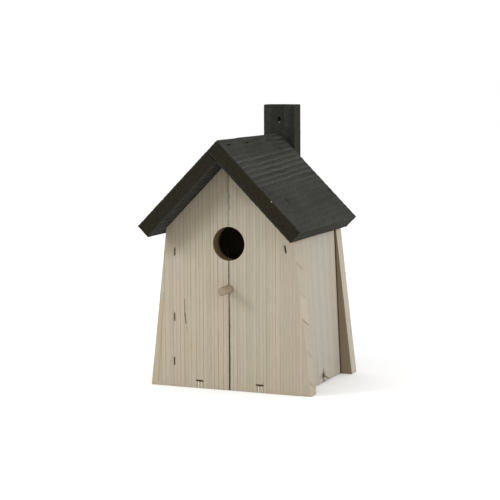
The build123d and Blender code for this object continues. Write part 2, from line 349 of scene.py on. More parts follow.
class Mesher:
    """Collects points and faces in a board's own directions, then makes the mesh."""

    def __init__(self, directions):
        self.directions = directions
        self.points, self.edge, self.faces = [], [], []

    def add(self, points, edge=0.0):
        start = len(self.points)
        self.points += [tuple(p) for p in points]
        self.edge += [edge] * len(points)
        return list(range(start, start + len(points)))

    def tube(self, rings):
        """Quads between each closed ring of points and the next."""
        for ring_a, ring_b in zip(rings, rings[1:]):
            for k in range(len(ring_a)):
                n = (k + 1) % len(ring_a)
                self.faces.append((ring_a[k], ring_a[n], ring_b[n], ring_b[k]))

    def piece(self, name, weld=0.02):
        u, v, w = self.directions
        metres = [(u * a + v * b + w * c) * MM for a, b, c in self.points]
        mesh = bpy.data.meshes.new(name)
        mesh.from_pydata(metres, [], self.faces)
        mesh.attributes.new("arris", "FLOAT", "POINT")
        mesh.attributes["arris"].data.foreach_set("value", self.edge)
        sheet = bmesh.new()
        sheet.from_mesh(mesh)
        bmesh.ops.remove_doubles(sheet, verts=sheet.verts, dist=weld * MM)
        bmesh.ops.dissolve_degenerate(sheet, edges=sheet.edges, dist=weld * MM / 4)
        bmesh.ops.recalc_face_normals(sheet, faces=sheet.faces)
        sheet.to_mesh(mesh)
        sheet.free()
        mesh.shade_smooth()
        obj = bpy.data.objects.new(name, mesh)
        bpy.context.scene.collection.objects.link(obj)
        return obj


def fill(mesher, outline, loops, height, spacing):
    """A flat face at one height inside an outline, with loops left open."""
    points, triangles = face_triangles(outline, loops, spacing)
    first = len(mesher.points)
    mesher.add([(p[0], p[1], height) for p in points])
    mesher.faces += [tuple(first + i for i in t) for t in triangles]


def sink(mesher, loop, start, depth, taper, steps):
    """The walls of a cut from one height to another; returns its last ring."""
    middle = sum(loop, Vector((0, 0))) / len(loop)
    walls = []
    for index in range(steps + 1):
        share = index / steps
        scale = 1 + (taper - 1) * share
        shrunk = [middle + (p - middle) * scale for p in loop]
        edge = 0.7 if index == 0 else 0.0
        walls.append(mesher.add([(p.x, p.y, start + depth * share) for p in shrunk], edge))
    mesher.tube(walls)
    return walls[-1]


def close_shell(mesher, rings):
    """Bands between the rings of a closed shell, and a face over each end."""
    mesher.tube(rings)
    mesher.faces.append(tuple(rings[0]))
    mesher.faces.append(tuple(rings[-1]))


def board(name, directions, low_runs, high_runs, span, arris, spacing, cuts=(), seed=0, seam=1.0):
    """A sawn board: two faces of its own outlines, worn long edges, and its cuts.

    span is the board's extent along its third direction. A cut is (face, loop, depth,
    taper, socket); its face is low, high or through, and its socket is a second cut in
    its floor, (loop, depth, taper), or None. seam is the share of the wear left on the
    edge along the centre line, where two boards meet."""
    mesher = Mesher(directions)
    low, out, counts = walk_round(low_runs, arris * 1.25, spacing * 1.3)
    high, _, _ = walk_round(high_runs, arris * 1.25, spacing * 1.3, counts)
    bottom, top = span

    def wear(points, shift):
        """The worn radius of the edge at each point, with a few dents."""
        values = []
        for x, y in points:
            slow = noise.noise(Vector((x * 0.06, y * 0.06, seed + shift)))
            fast = noise.noise(Vector((x * 0.45, y * 0.45, seed + shift + 7)))
            dent = max(0.0, fast - 0.42) * 1.6
            share = seam if abs(x) < SEAM_REACH else 1.0
            values.append(arris * share * min(1.2, 0.62 + 0.28 * slow + 0.18 * fast + dent))
        return np.array(values)

    def level(inset, height):
        share = ((height - bottom) / (top - bottom))[:, None]
        flat = low * (1 - share) + high * share - out * inset[:, None]
        return np.column_stack([flat, height])

    low_wear, high_wear = wear(low, 0.0), wear(high, 31.0)
    levels = []
    for step in range(4):
        angle = math.pi / 2 * step / 3
        inset = low_wear * (1 - math.sin(angle))
        levels.append((inset, bottom + low_wear * (1 - math.cos(angle)), 1.0))
    rows = max(2, round((top - bottom) / spacing))
    for step in range(1, rows):
        share = step / rows
        height = (bottom + low_wear) * (1 - share) + (top - high_wear) * share
        levels.append((np.zeros(len(low)), height, 0.0))
    for step in range(3, -1, -1):
        angle = math.pi / 2 * step / 3
        inset = high_wear * (1 - math.sin(angle))
        levels.append((inset, top - high_wear * (1 - math.cos(angle)), 1.0))
    rings = [mesher.add(level(inset, height), edge) for inset, height, edge in levels]
    mesher.tube(rings)

    for face, height, boundary in (("low", bottom, rings[0]), ("high", top, rings[-1])):
        outline = np.array([mesher.points[i][:2] for i in boundary])
        loops = [loop for where, loop, *_ in cuts if where in (face, "through")]
        fill(mesher, outline, loops, height, spacing)
    for where, loop, depth, taper, socket in cuts:
        if where == "through":
            sink(mesher, loop, bottom, top - bottom, taper, 6)
            continue
        start, inward = (bottom, 1) if where == "low" else (top, -1)
        floor = sink(mesher, loop, start, inward * depth, taper, 3)
        if not socket:
            mesher.faces.append(tuple(floor))
            continue
        height = start + inward * depth
        outline = np.array([mesher.points[i][:2] for i in floor])
        fill(mesher, outline, [socket[0]], height, 1.0)
        floor = sink(mesher, socket[0], height, inward * socket[1], socket[2], 3)
        mesher.faces.append(tuple(floor))
    return mesher.piece(name)


def plank_directions(outward):
    return BACK.cross(outward), BACK, outward


GABLE_DIRECTIONS = (RIGHT, UP, -BACK)


def flat_place(directions, point):
    """Where a point lies on a board's face, in the board's own two directions."""
    return Vector((point.dot(directions[0]), point.dot(directions[1])))


def gable_board(name, node, notches, arris, spacing, cuts, seed):
    """A board whose faces look to the front and back, with its outline from the CAD."""
    corners = front_outline(node)
    if notches:
        height, radius = notches[0]
        corners = tight_above(corners, height - radius - 1, height + radius + 1)
    low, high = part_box(node)
    span = (-high.y / MM, -low.y / MM)
    runs = notched_runs(corners, notches)
    return board(name, GABLE_DIRECTIONS, runs, runs, span, arris, spacing, cuts, seed, SEAM_WEAR)


def plank(name, node, outward, arris, spacing, cuts, seed):
    """A board that runs front to back, its long edges cut square or to a slope."""
    directions = plank_directions(outward)
    corners = [Vector((x, 0, z)) for x, z in front_outline(node)]
    heights = [c.dot(outward) for c in corners]
    middle = (min(heights) + max(heights)) / 2
    low_box, high_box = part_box(node)
    front, back = low_box.y / MM, high_box.y / MM
    faces = []
    for wanted in (False, True):
        edge = [c.dot(directions[0]) for c, h in zip(corners, heights) if (h > middle) == wanted]
        near, far = min(edge), max(edge)
        rectangle = [(near, front), (far, front), (far, back), (near, back)]
        faces.append(straight_runs([Vector(p) for p in rectangle]))
    span = (min(heights), max(heights))
    return board(name, directions, faces[0], faces[1], span, arris, spacing, cuts, seed)


# ---- node trees --------------------------------------------------------------------


class Tree:
    """Adds nodes to a shader or geometry tree and links them."""

    def __init__(self, tree):
        self.tree = tree

    def put(self, socket, value):
        if isinstance(value, bpy.types.NodeSocket):
            self.tree.links.new(value, socket)
        else:
            socket.default_value = value

    def add(self, kind, inputs=None, **settings):
        node = self.tree.nodes.new(kind)
        for name, value in settings.items():
            setattr(node, name, value)
        for name, value in (inputs or {}).items():
            self.put(node.inputs[name], value)
        return node

    def sum(self, operation, *values, clamp=False):
        node = self.add("ShaderNodeMath", operation=operation, use_clamp=clamp)
        for socket, value in zip(node.inputs, values):
            self.put(socket, value)
        return node.outputs[0]

    def times(self, *values):
        return self.sum("MULTIPLY", *values)

    def vector(self, operation, *values):
        node = self.add("ShaderNodeVectorMath", operation=operation)
        sockets = [node.inputs[3]] if operation == "SCALE" else []
        sockets = [node.inputs[0]] + (sockets or [node.inputs[1], node.inputs[2]])
        for socket, value in zip(sockets, values):
            self.put(socket, value)
        return node.outputs["Value" if operation in ("LENGTH", "DOT_PRODUCT") else "Vector"]

    def noise(self, place, scale=1.0, detail=2.0, rough=0.5, twist=0.0, colour=False):
        node = self.add("ShaderNodeTexNoise", noise_dimensions="3D")
        self.put(node.inputs["Vector"], place)
        self.put(node.inputs["Scale"], scale)
        self.put(node.inputs["Detail"], detail)
        self.put(node.inputs["Roughness"], rough)
        self.put(node.inputs["Distortion"], twist)
        return node.outputs["Color" if colour else "Fac"]

    def stretched(self, place, stretch, detail, rough, colour=False):
        """Noise drawn out along some directions."""
        return self.noise(self.vector("MULTIPLY", place, stretch), 1.0, detail, rough, colour=colour)

    def off_centre(self, value):
        """A noise colour as a vector about zero."""
        return self.vector("SUBTRACT", value, (0.5, 0.5, 0.5))

    def smooth(self, value, low, high, to_low=0.0, to_high=1.0):
        node = self.add("ShaderNodeMapRange", interpolation_type="SMOOTHSTEP")
        for name, number in (
            ("Value", value), ("From Min", low), ("From Max", high),
            ("To Min", to_low), ("To Max", to_high),
        ):
            self.put(node.inputs[name], number)
        return node.outputs["Result"]

    def mix(self, share, a, b, blend="MIX"):
        node = self.add("ShaderNodeMix", data_type="RGBA", blend_type=blend)
        for index, value in ((0, share), (6, a), (7, b)):
            if isinstance(value, tuple):
                value = (*value, 1.0)
            self.put(node.inputs[index], value)
        return node.outputs[2]


def new_group(name, kind, inputs, outputs):
    """An empty node group with its named sockets: (tree helper, input node, output node)."""
    group = bpy.data.node_groups.new(name, kind)
    for socket, socket_type, value in inputs:
        made = group.interface.new_socket(socket, in_out="INPUT", socket_type=socket_type)
        if value is not None:
            made.default_value = value
    for socket, socket_type in outputs:
        group.interface.new_socket(socket, in_out="OUTPUT", socket_type=socket_type)
    tree = Tree(group)
    return tree, tree.add("NodeGroupInput"), tree.add("NodeGroupOutput")


GRAIN_INPUTS = [
    ("Place", "NodeSocketVector", None),
    ("Ring Spacing", "NodeSocketFloat", 4.0),
    ("Drift", "NodeSocketFloat", 4.0),
    ("Waves", "NodeSocketFloat", 0.3),
    ("Wave Length", "NodeSocketFloat", 30.0),
    ("Seed", "NodeSocketFloat", 0.0),
]


def growth_rings(tree, given):
    """Late-wood lines round a pith that runs along the third axis, in millimetres.

    Returns the line mask, the tone of each ring and the smooth swell of each ring."""
    seed = tree.vector("SCALE", (1.7, 2.3, 3.1), given["Seed"])
    slow_place = tree.vector("MULTIPLY", given["Place"], (0.011, 0.011, 0.0045))
    slow = tree.noise(tree.vector("ADD", slow_place, seed), 1.0, 1.5, 0.45, colour=True)
    slow = tree.vector("SCALE", tree.off_centre(slow), given["Drift"])
    along = tree.sum("DIVIDE", 1.0, given["Wave Length"])
    wave_place = tree.vector("MULTIPLY", given["Place"], (0.022, 0.022, 0.0))
    wave_along = tree.vector("MULTIPLY", given["Place"], (0.0, 0.0, 1.0))
    wave_along = tree.vector("SCALE", wave_along, along)
    wave_place = tree.vector("ADD", tree.vector("ADD", wave_place, wave_along), seed)
    wave = tree.noise(wave_place, 1.0, 2.0, 0.5, colour=True)
    wave = tree.vector("SCALE", tree.off_centre(wave), given["Waves"])
    bent = tree.vector("ADD", tree.vector("ADD", given["Place"], slow), wave)
    radius = tree.vector("LENGTH", tree.vector("MULTIPLY", bent, (1.0, 1.0, 0.0)))
    count = tree.sum("DIVIDE", radius, given["Ring Spacing"])
    uneven_place = tree.add("ShaderNodeCombineXYZ", {"X": tree.times(count, 0.55)})
    uneven = tree.noise(tree.vector("ADD", uneven_place.outputs[0], seed), 1.0, 1.0, 0.5)
    count = tree.sum("ADD", count, tree.times(uneven, 1.2))
    phase = tree.sum("FRACT", count)
    rise = tree.smooth(phase, 0.75, 0.95)
    fall = tree.smooth(phase, 0.955, 1.0, 1.0, 0.0)
    line = tree.times(tree.sum("POWER", rise, 2.4), fall)
    number = tree.add("ShaderNodeCombineXYZ", {"X": tree.sum("FLOOR", count)})
    tone = tree.add("ShaderNodeTexWhiteNoise", noise_dimensions="3D")
    tree.put(tone.inputs["Vector"], tree.vector("ADD", number.outputs[0], seed))
    tone = tone.outputs["Value"]
    swell = tree.times(tree.smooth(phase, 0.0, 0.85), tree.smooth(phase, 0.9, 1.0, 1.0, 0.0))
    return line, tone, swell


def make_grain_group():
    """Shader group: growth rings, fibres and patches of a softwood board."""
    outputs = [
        ("Late Wood", "NodeSocketFloat"), ("Ring Tone", "NodeSocketFloat"),
        ("Swell", "NodeSocketFloat"), ("Fibre", "NodeSocketFloat"),
        ("Fleck", "NodeSocketFloat"), ("Patch", "NodeSocketFloat"),
    ]
    tree, given, result = new_group("softwood grain", "ShaderNodeTree", GRAIN_INPUTS, outputs)
    place = given.outputs["Place"]
    line, tone, swell = growth_rings(tree, given.outputs)
    fibre = tree.stretched(place, (2.6, 2.6, 0.07), 3.0, 0.6)
    fleck = tree.stretched(place, (1.3, 1.3, 0.16), 1.0, 0.5)
    fleck = tree.smooth(fleck, 0.66, 0.76)
    patch = tree.stretched(place, (0.02, 0.02, 0.007), 2.0, 0.5)
    for name, value in zip(
        ("Late Wood", "Ring Tone", "Swell", "Fibre", "Fleck", "Patch"),
        (line, tone, swell, fibre, fleck, patch),
    ):
        tree.put(result.inputs[name], value)
    return tree.tree


def make_mark_group():
    """Shader group: a soft ragged stroke between two points, in millimetres."""
    inputs = [
        ("Point", "NodeSocketVector", None), ("From", "NodeSocketVector", None),
        ("To", "NodeSocketVector", None), ("Width", "NodeSocketFloat", 0.5),
        ("Ragged", "NodeSocketFloat", 0.4),
    ]
    tree, given, result = new_group("mark", "ShaderNodeTree", inputs, [("Mask", "NodeSocketFloat")])
    point, start, end = (given.outputs[n] for n in ("Point", "From", "To"))
    shake = tree.off_centre(tree.noise(point, 1.1, 2.0, 0.6, colour=True))
    point = tree.vector("ADD", point, tree.vector("SCALE", shake, given.outputs["Ragged"]))
    along = tree.vector("SUBTRACT", end, start)
    offset = tree.vector("SUBTRACT", point, start)
    share = tree.sum(
        "DIVIDE", tree.vector("DOT_PRODUCT", offset, along),
        tree.vector("DOT_PRODUCT", along, along), clamp=True,
    )
    gap = tree.vector("LENGTH", tree.vector("SUBTRACT", offset, tree.vector("SCALE", along, share)))
    half = tree.times(given.outputs["Width"], 0.5)
    near = tree.times(half, 0.45)
    tree.put(result.inputs["Mask"], tree.smooth(gap, near, half, 1.0, 0.0))
    return tree.tree


def make_wear_group():
    """Shader group: where a worn long edge shows, broken up by noise."""
    inputs = [
        ("Point", "NodeSocketVector", None), ("Edge", "NodeSocketFloat", 0.0),
        ("Amount", "NodeSocketFloat", 0.5),
    ]
    tree, given, result = new_group("edge wear", "ShaderNodeTree", inputs, [("Mask", "NodeSocketFloat")])
    broken = tree.noise(given.outputs["Point"], 0.45, 4.0, 0.65)
    reach = tree.sum("ADD", tree.times(given.outputs["Amount"], 0.5), broken)
    spots = tree.smooth(reach, 0.78, 0.95)
    tree.put(result.inputs["Mask"], tree.sum("MULTIPLY", spots, given.outputs["Edge"], clamp=True))
    return tree.tree


def finish_geometry(tree, geometry_socket, given, result):
    """Ends a geometry group: real geometry that carries the given material."""
    real = tree.add("GeometryNodeRealizeInstances", {"Geometry": geometry_socket})
    finish = tree.add("GeometryNodeSetMaterial", {
        "Geometry": real.outputs[0], "Material": given.outputs["Material"],
    })
    tree.put(result.inputs["Geometry"], finish.outputs[0])


def copies_on_points(tree, given, result, instance, least, most):
    """Ends a group with a copy at each point, facing outward and turned at random.

    The copy's third axis goes along the point's outward, and its first along its crown.
    least and most are the ends of the random turn."""
    axes = []
    for name in ("outward", "crown"):
        axes.append(tree.add(
            "GeometryNodeInputNamedAttribute", {"Name": name}, data_type="FLOAT_VECTOR",
        ).outputs[0])
    facing = tree.add("FunctionNodeAxesToRotation", {
        "Primary Axis": axes[0], "Secondary Axis": axes[1],
    }, primary_axis="Z", secondary_axis="X")
    turn = tree.add("FunctionNodeRandomValue", data_type="FLOAT_VECTOR")
    for name, value in (("Min", least), ("Max", most), ("Seed", given.outputs["Seed"])):
        tree.put(turn.inputs[name], value)
    row = tree.add("GeometryNodeInstanceOnPoints", {
        "Points": given.outputs["Geometry"], "Instance": instance, "Rotation": facing.outputs[0],
    })
    row = tree.add("GeometryNodeRotateInstances", {
        "Instances": row.outputs[0], "Rotation": turn.outputs[0], "Local Space": True,
    })
    finish_geometry(tree, row.outputs[0], given, result)


def make_relief_group():
    """Geometry group: sinks the soft early wood of a board and leaves the ridges."""
    inputs = [("Geometry", "NodeSocketGeometry", None)] + GRAIN_INPUTS[1:] + [
        ("Pith", "NodeSocketVector", (0.0, 0.0, 0.0)),
        ("Grain Turn", "NodeSocketVector", (0.0, 0.0, 0.0)),
        ("Ring Depth", "NodeSocketFloat", 0.1),
        ("Hollow Depth", "NodeSocketFloat", 0.1),
        ("Material", "NodeSocketMaterial", None),
    ]
    outputs = [("Geometry", "NodeSocketGeometry")]
    tree, given, result = new_group("raised grain", "GeometryNodeTree", inputs, outputs)
    position = tree.add("GeometryNodeInputPosition").outputs[0]
    point = tree.vector("SCALE", position, 1 / MM)
    turned = tree.add("ShaderNodeVectorRotate", {
        "Vector": point, "Rotation": given.outputs["Grain Turn"],
    }, rotation_type="EULER_XYZ")
    place = tree.vector("ADD", turned.outputs[0], given.outputs["Pith"])
    names = {name: given.outputs[name] for name, _, _ in GRAIN_INPUTS[1:]}
    _, _, swell = growth_rings(tree, {"Place": place, **names})
    hollow = tree.stretched(place, (0.05, 0.05, 0.02), 2.0, 0.5)
    sunk = tree.times(tree.sum("SUBTRACT", 1.0, swell), given.outputs["Ring Depth"])
    sunk = tree.sum("ADD", sunk, tree.times(hollow, given.outputs["Hollow Depth"]))
    normal = tree.add("GeometryNodeInputNormal").outputs[0]
    offset = tree.vector("SCALE", normal, tree.times(sunk, -MM))
    moved = tree.add("GeometryNodeSetPosition", {
        "Geometry": given.outputs["Geometry"], "Offset": offset,
    })
    finish_geometry(tree, moved.outputs[0], given, result)
    return tree.tree


def make_staple_group():
    """Geometry group: a bent wire staple at each point, legs into the wood."""
    inputs = [
        ("Geometry", "NodeSocketGeometry", None), ("Crown Width", "NodeSocketFloat", STAPLE_CROWN * MM),
        ("Wire", "NodeSocketFloat", STAPLE_WIRE * MM), ("Leg Length", "NodeSocketFloat", STAPLE_LENGTH * MM),
        ("Bend Radius", "NodeSocketFloat", 0.7 * MM), ("Tilt", "NodeSocketFloat", 0.03),
        ("Seed", "NodeSocketInt", 1), ("Material", "NodeSocketMaterial", None),
    ]
    outputs = [("Geometry", "NodeSocketGeometry")]
    tree, given, result = new_group("staple row", "GeometryNodeTree", inputs, outputs)
    wire_width = given.outputs["Wire"]
    half = tree.times(tree.sum("SUBTRACT", given.outputs["Crown Width"], wire_width), 0.5)
    deep = tree.times(tree.sum("SUBTRACT", given.outputs["Leg Length"], wire_width), -1.0)
    wire_line = tree.add("GeometryNodeMeshLine", {"Count": 4})
    index = tree.add("GeometryNodeInputIndex").outputs[0]
    right_side = tree.sum("GREATER_THAN", index, 1.5)
    outer = tree.sum("GREATER_THAN", tree.sum("ABSOLUTE", tree.sum("SUBTRACT", index, 1.5)), 1.0)
    x = tree.times(tree.sum("SUBTRACT", tree.times(right_side, 2.0), 1.0), half)
    corner = tree.add("ShaderNodeCombineXYZ", {"X": x, "Z": tree.times(outer, deep)})
    wire_line = tree.add("GeometryNodeSetPosition", {
        "Geometry": wire_line.outputs[0], "Position": corner.outputs[0],
    })
    path = tree.add("GeometryNodeMeshToCurve", {"Mesh": wire_line.outputs[0]})
    path = tree.add("GeometryNodeFilletCurve", {"Curve": path.outputs[0]})
    choose_poly(path)
    tree.put(path.inputs["Radius"], given.outputs["Bend Radius"])
    tree.put(path.inputs["Count"], 5)
    section = tree.add("GeometryNodeCurvePrimitiveQuadrilateral", {
        "Width": given.outputs["Wire"], "Height": given.outputs["Wire"],
    })
    section = tree.add("GeometryNodeFilletCurve", {"Curve": section.outputs[0]})
    choose_poly(section)
    tree.put(section.inputs["Radius"], tree.times(given.outputs["Wire"], 0.25))
    tree.put(section.inputs["Count"], 2)
    wire = tree.add("GeometryNodeCurveToMesh", {
        "Curve": path.outputs[0], "Profile Curve": section.outputs[0], "Fill Caps": True,
    })
    spread = tree.vector("SCALE", (0.0, 0.0, 1.0), given.outputs["Tilt"])
    copies_on_points(tree, given, result, wire.outputs[0], tree.vector("SCALE", spread, -1.0), spread)
    return tree.tree


def make_screw_group():
    """Geometry group: a copy of one screw at each point, each turned as it was driven."""
    inputs = [
        ("Geometry", "NodeSocketGeometry", None), ("Screw", "NodeSocketObject", None),
        ("Seed", "NodeSocketInt", 1), ("Material", "NodeSocketMaterial", None),
    ]
    outputs = [("Geometry", "NodeSocketGeometry")]
    tree, given, result = new_group("screw row", "GeometryNodeTree", inputs, outputs)
    screw = tree.add("GeometryNodeObjectInfo", {"Object": given.outputs["Screw"]})
    full_turn = (0.0, 0.0, 2 * math.pi)
    copies_on_points(tree, given, result, screw.outputs["Geometry"], (0.0, 0.0, 0.0), full_turn)
    return tree.tree


def choose_poly(fillet):
    """Sets a Fillet Curve node to cut its corners as short straight runs."""
    if "Mode" in fillet.inputs:
        fillet.inputs["Mode"].default_value = "Poly"
    else:
        fillet.mode = "POLY"


GRAIN = make_grain_group()
MARK = make_mark_group()
WEAR = make_wear_group()
RELIEF = make_relief_group()
STAPLES = make_staple_group()
SCREWS = make_screw_group()


def apply_tree(piece, group, values):
    """Runs a geometry group on a piece with named values, and keeps the plain mesh."""
    modifier = piece.modifiers.new(group.name, "NODES")
    modifier.node_group = group
    for item in group.interface.items_tree:
        if item.item_type == "SOCKET" and item.in_out == "INPUT" and item.name in values:
            modifier[item.identifier] = values[item.name]
    bpy.context.view_layer.update()
    evaluated = piece.evaluated_get(bpy.context.evaluated_depsgraph_get())
    mesh = bpy.data.meshes.new_from_object(evaluated)
    piece.modifiers.remove(modifier)
    old = piece.data
    piece.data = mesh
    bpy.data.meshes.remove(old)
    mesh.name = piece.name
    mesh.shade_smooth()
    return piece


# ---- materials ---------------------------------------------------------------------


class Board:
    """How one board was sawn from its tree: where its pith runs and how it grew.

    along is the direction of the pith and outward that of the board's face. aside and
    below say how far the pith is from the middle of that face."""

    def __init__(self, node, along, outward, aside, below, spacing, growth):
        along = Vector(along).normalized()
        across = along.cross(outward).normalized()
        depth = across.cross(along)
        frame_turn = Matrix((across, depth, along))
        low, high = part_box(node)
        middle = (low + high) / 2 / MM
        reach = max(abs((p - middle).dot(outward)) for p in cad_points(node))
        face = frame_turn @ (middle + Vector(outward) * reach)
        self.along = along
        self.turn = tuple(frame_turn.to_euler("XYZ"))
        self.pith = (-face.x - aside, -face.y + below, 0.0)
        self.values = {"Ring Spacing": spacing, "Drift": 4.0, "Waves": 0.3, "Wave Length": 30.0, "Seed": 0.0}
        self.values.update(growth)

    def grain(self, tree, coordinates):
        """The grain group's outputs at the object's own coordinates, and the place used."""
        mapping = tree.add("ShaderNodeMapping", {
            "Vector": coordinates, "Location": self.pith, "Rotation": self.turn,
            "Scale": (1 / MM, 1 / MM, 1 / MM),
        })
        place = mapping.outputs[0]
        node = tree.add("ShaderNodeGroup", node_tree=GRAIN)
        tree.put(node.inputs["Place"], place)
        for name, value in self.values.items():
            tree.put(node.inputs[name], value)
        return node.outputs, place


def new_material(name):
    material = bpy.data.materials.new(name)
    material.use_nodes = True
    material.node_tree.nodes.clear()
    return material, Tree(material.node_tree)


def surface_point(tree):
    """Object coordinates, the same in millimetres, and the object's own normal."""
    coordinates = tree.add("ShaderNodeTexCoord").outputs
    return coordinates["Object"], tree.vector("SCALE", coordinates["Object"], 1 / MM), coordinates["Normal"]


def end_grain(tree, normal, along):
    facing = tree.sum("ABSOLUTE", tree.vector("DOT_PRODUCT", normal, tuple(along)))
    return tree.smooth(facing, 0.55, 0.85)


def mark(tree, point, start, end, width, ragged=0.4):
    node = tree.add("ShaderNodeGroup", node_tree=MARK)
    for name, value in (
        ("Point", point), ("From", tuple(start)), ("To", tuple(end)),
        ("Width", width), ("Ragged", ragged),
    ):
        tree.put(node.inputs[name], value)
    return node.outputs["Mask"]


def edge_wear(tree, point, amount):
    edge = tree.add("ShaderNodeAttribute", attribute_name="arris", attribute_type="GEOMETRY")
    node = tree.add("ShaderNodeGroup", node_tree=WEAR)
    for name, value in (("Point", point), ("Edge", edge.outputs["Fac"]), ("Amount", amount)):
        tree.put(node.inputs[name], value)
    return node.outputs["Mask"], edge.outputs["Fac"]


def finish_material(tree, colour, roughness, height, depth, specular=0.3, metallic=0.0):
    """The surface itself: one Principled shader with a bump, all else from the nodes."""
    bump = tree.add("ShaderNodeBump", {"Height": height})
    bump.inputs["Strength"].default_value = 1.0
    bump.inputs["Distance"].default_value = depth * MM
    shader = tree.add("ShaderNodeBsdfPrincipled")
    shader.inputs["Specular IOR Level"].default_value = specular
    tree.put(shader.inputs["Metallic"], metallic)
    tree.put(shader.inputs["Base Color"], colour)
    tree.put(shader.inputs["Roughness"], roughness)
    tree.put(shader.inputs["Normal"], bump.outputs[0])
    output = tree.add("ShaderNodeOutputMaterial")
    tree.put(output.inputs["Surface"], shader.outputs[0])


# Colours are linear.
FRONT_TONES = (0.318, 0.290, 0.222), (0.330, 0.286, 0.228)
DOOR_TONES = (0.313, 0.289, 0.243), (0.318, 0.287, 0.244)
BACK_TONES = (0.338, 0.316, 0.262), (0.348, 0.314, 0.268)
YELLOW_WOOD = (0.330, 0.272, 0.192)
PAINTED_INSIDE_SHADE = (0.135, 0.090, 0.042)     # painted shade on the inner face and the entrance's walls, brown
LATE_WOOD = (0.150, 0.098, 0.052)
END_GRAIN = (0.340, 0.285, 0.205)
# The next two are real rust and torn wood, and also serve as painted shade in joints, gaps and slots and round the
# perch and pivots.
RUST_AND_SHADE = (0.055, 0.033, 0.018)
SPLIT_AND_SHADE_DARK = (0.085, 0.050, 0.024)
SPLIT_PALE = (0.620, 0.570, 0.470)
RESIN = (0.110, 0.068, 0.040)
RUST_SPOT = (0.060, 0.030, 0.015)
DOWEL_TONES = (0.275, 0.222, 0.152), (0.245, 0.190, 0.122)
DOWEL_END_TONES = (0.150, 0.128, 0.085), (0.255, 0.222, 0.160)
DOWEL_LATE_WOOD = (0.150, 0.105, 0.060)
DOWEL_FLECK = (0.120, 0.080, 0.045)


def grey(tree, tone):
    node = tree.add("ShaderNodeCombineColor", {"Red": tone, "Green": tone, "Blue": tone})
    return node.outputs[0]


def shaded(tree, colour, value, low, high):
    """A colour made lighter and darker by a value."""
    tone = tree.smooth(value, 0.3, 0.7, low, high)
    return tree.mix(1.0, colour, grey(tree, tone), "MULTIPLY")


def painted_marks(tree, point, colour, marks):
    for start, end, width, paint, strength in marks:
        mask = mark(tree, point, start, end, width)
        colour = tree.mix(tree.times(mask, strength), colour, paint)
    return colour


def pale_board(name, sawn, tones, lines, marks, inside=None, bore=None):
    """Untreated planed softwood. A mark is (start, end, width, colour, strength).

    inside is the direction in which the board's rough inner face looks, which gets painted
    shade, and bore the stroke along a round hole whose walls get painted shade, (start, end, width)."""
    material, tree = new_material(name)
    coordinates, point, normal = surface_point(tree)
    grain, place = sawn.grain(tree, coordinates)
    blush = tree.stretched(place, (0.11, 0.11, 0.003), 2.0, 0.6)
    colour = tree.mix(tree.smooth(blush, 0.38, 0.62), *tones)
    colour = tree.mix(tree.smooth(grain["Patch"], 0.35, 0.7, 0.0, 0.5), colour, YELLOW_WOOD)
    colour = shaded(tree, colour, grain["Ring Tone"], 0.955, 1.03)
    late = tree.times(grain["Late Wood"], tree.smooth(grain["Ring Tone"], 0.1, 0.9, 0.15, 1.0))
    broken = tree.stretched(place, (0.3, 0.3, 0.02), 2.0, 0.6)
    late = tree.times(late, tree.smooth(broken, 0.3, 0.6, 0.45, 1.0))
    colour = tree.mix(tree.times(late, lines), colour, LATE_WOOD)
    ends = end_grain(tree, normal, sawn.along)
    colour = tree.mix(tree.times(ends, 0.6), colour, END_GRAIN)
    colour = shaded(tree, colour, grain["Fibre"], 0.91, 1.06)
    colour = tree.mix(tree.times(grain["Fleck"], 0.10), colour, LATE_WOOD)
    worn, _ = edge_wear(tree, point, 0.6)
    colour = tree.mix(tree.times(worn, 0.3), colour, END_GRAIN)
    # Painted shade on the rough inner face.
    if inside:
        inner = tree.smooth(tree.vector("DOT_PRODUCT", normal, tuple(inside)), 0.7, 0.95, 0.0, 0.75)
        colour = tree.mix(inner, colour, PAINTED_INSIDE_SHADE)
    # Painted shade on the walls of the entrance hole.
    if bore:
        aside = tree.sum("ABSOLUTE", tree.vector("DOT_PRODUCT", normal, tuple(BACK)))
        bore_shade = tree.smooth(aside, 0.3, 0.8, 0.95, 0.0)
        bore_shade = tree.times(bore_shade, mark(tree, point, *bore))
        colour = tree.mix(bore_shade, colour, PAINTED_INSIDE_SHADE)
    colour = painted_marks(tree, point, colour, marks)
    saw = tree.stretched(place, (0.3, 0.3, 1.2), 2.0, 0.6)
    height = tree.sum("ADD", tree.times(grain["Fibre"], 0.7), tree.times(late, 0.3))
    height = tree.sum("ADD", height, tree.times(saw, tree.times(ends, 1.5)))
    rough = tree.smooth(grain["Fibre"], 0.2, 0.8, 0.62, 0.76)
    rough = tree.sum("ADD", rough, tree.times(ends, 0.1))
    finish_material(tree, colour, rough, height, 0.10, specular=0.2)
    return material


STAIN = (0.0270, 0.0272, 0.0232)
STAIN_DARK = (0.0090, 0.0088, 0.0066)
STAIN_PALE = (0.0500, 0.0505, 0.0430)
STAIN_END = (0.0122, 0.0110, 0.0060)    # end grain drinks more stain, and is browner
STAIN_EDGE = (0.0150, 0.0136, 0.0078)
# Bare wood where the stain is worn, and a painted highlight along the roof's front arris.
BARE_WOOD_AND_HIGHLIGHT = (0.110, 0.085, 0.055)
# Painted shade in the slots round the roof's crowns.
PAINTED_SLOT_SHADE = (0.004, 0.004, 0.003)
PAINT_CHIP = (0.620, 0.600, 0.540)
BATTEN_COATS = 0.57475          # how far the batten is darkened by a second coat


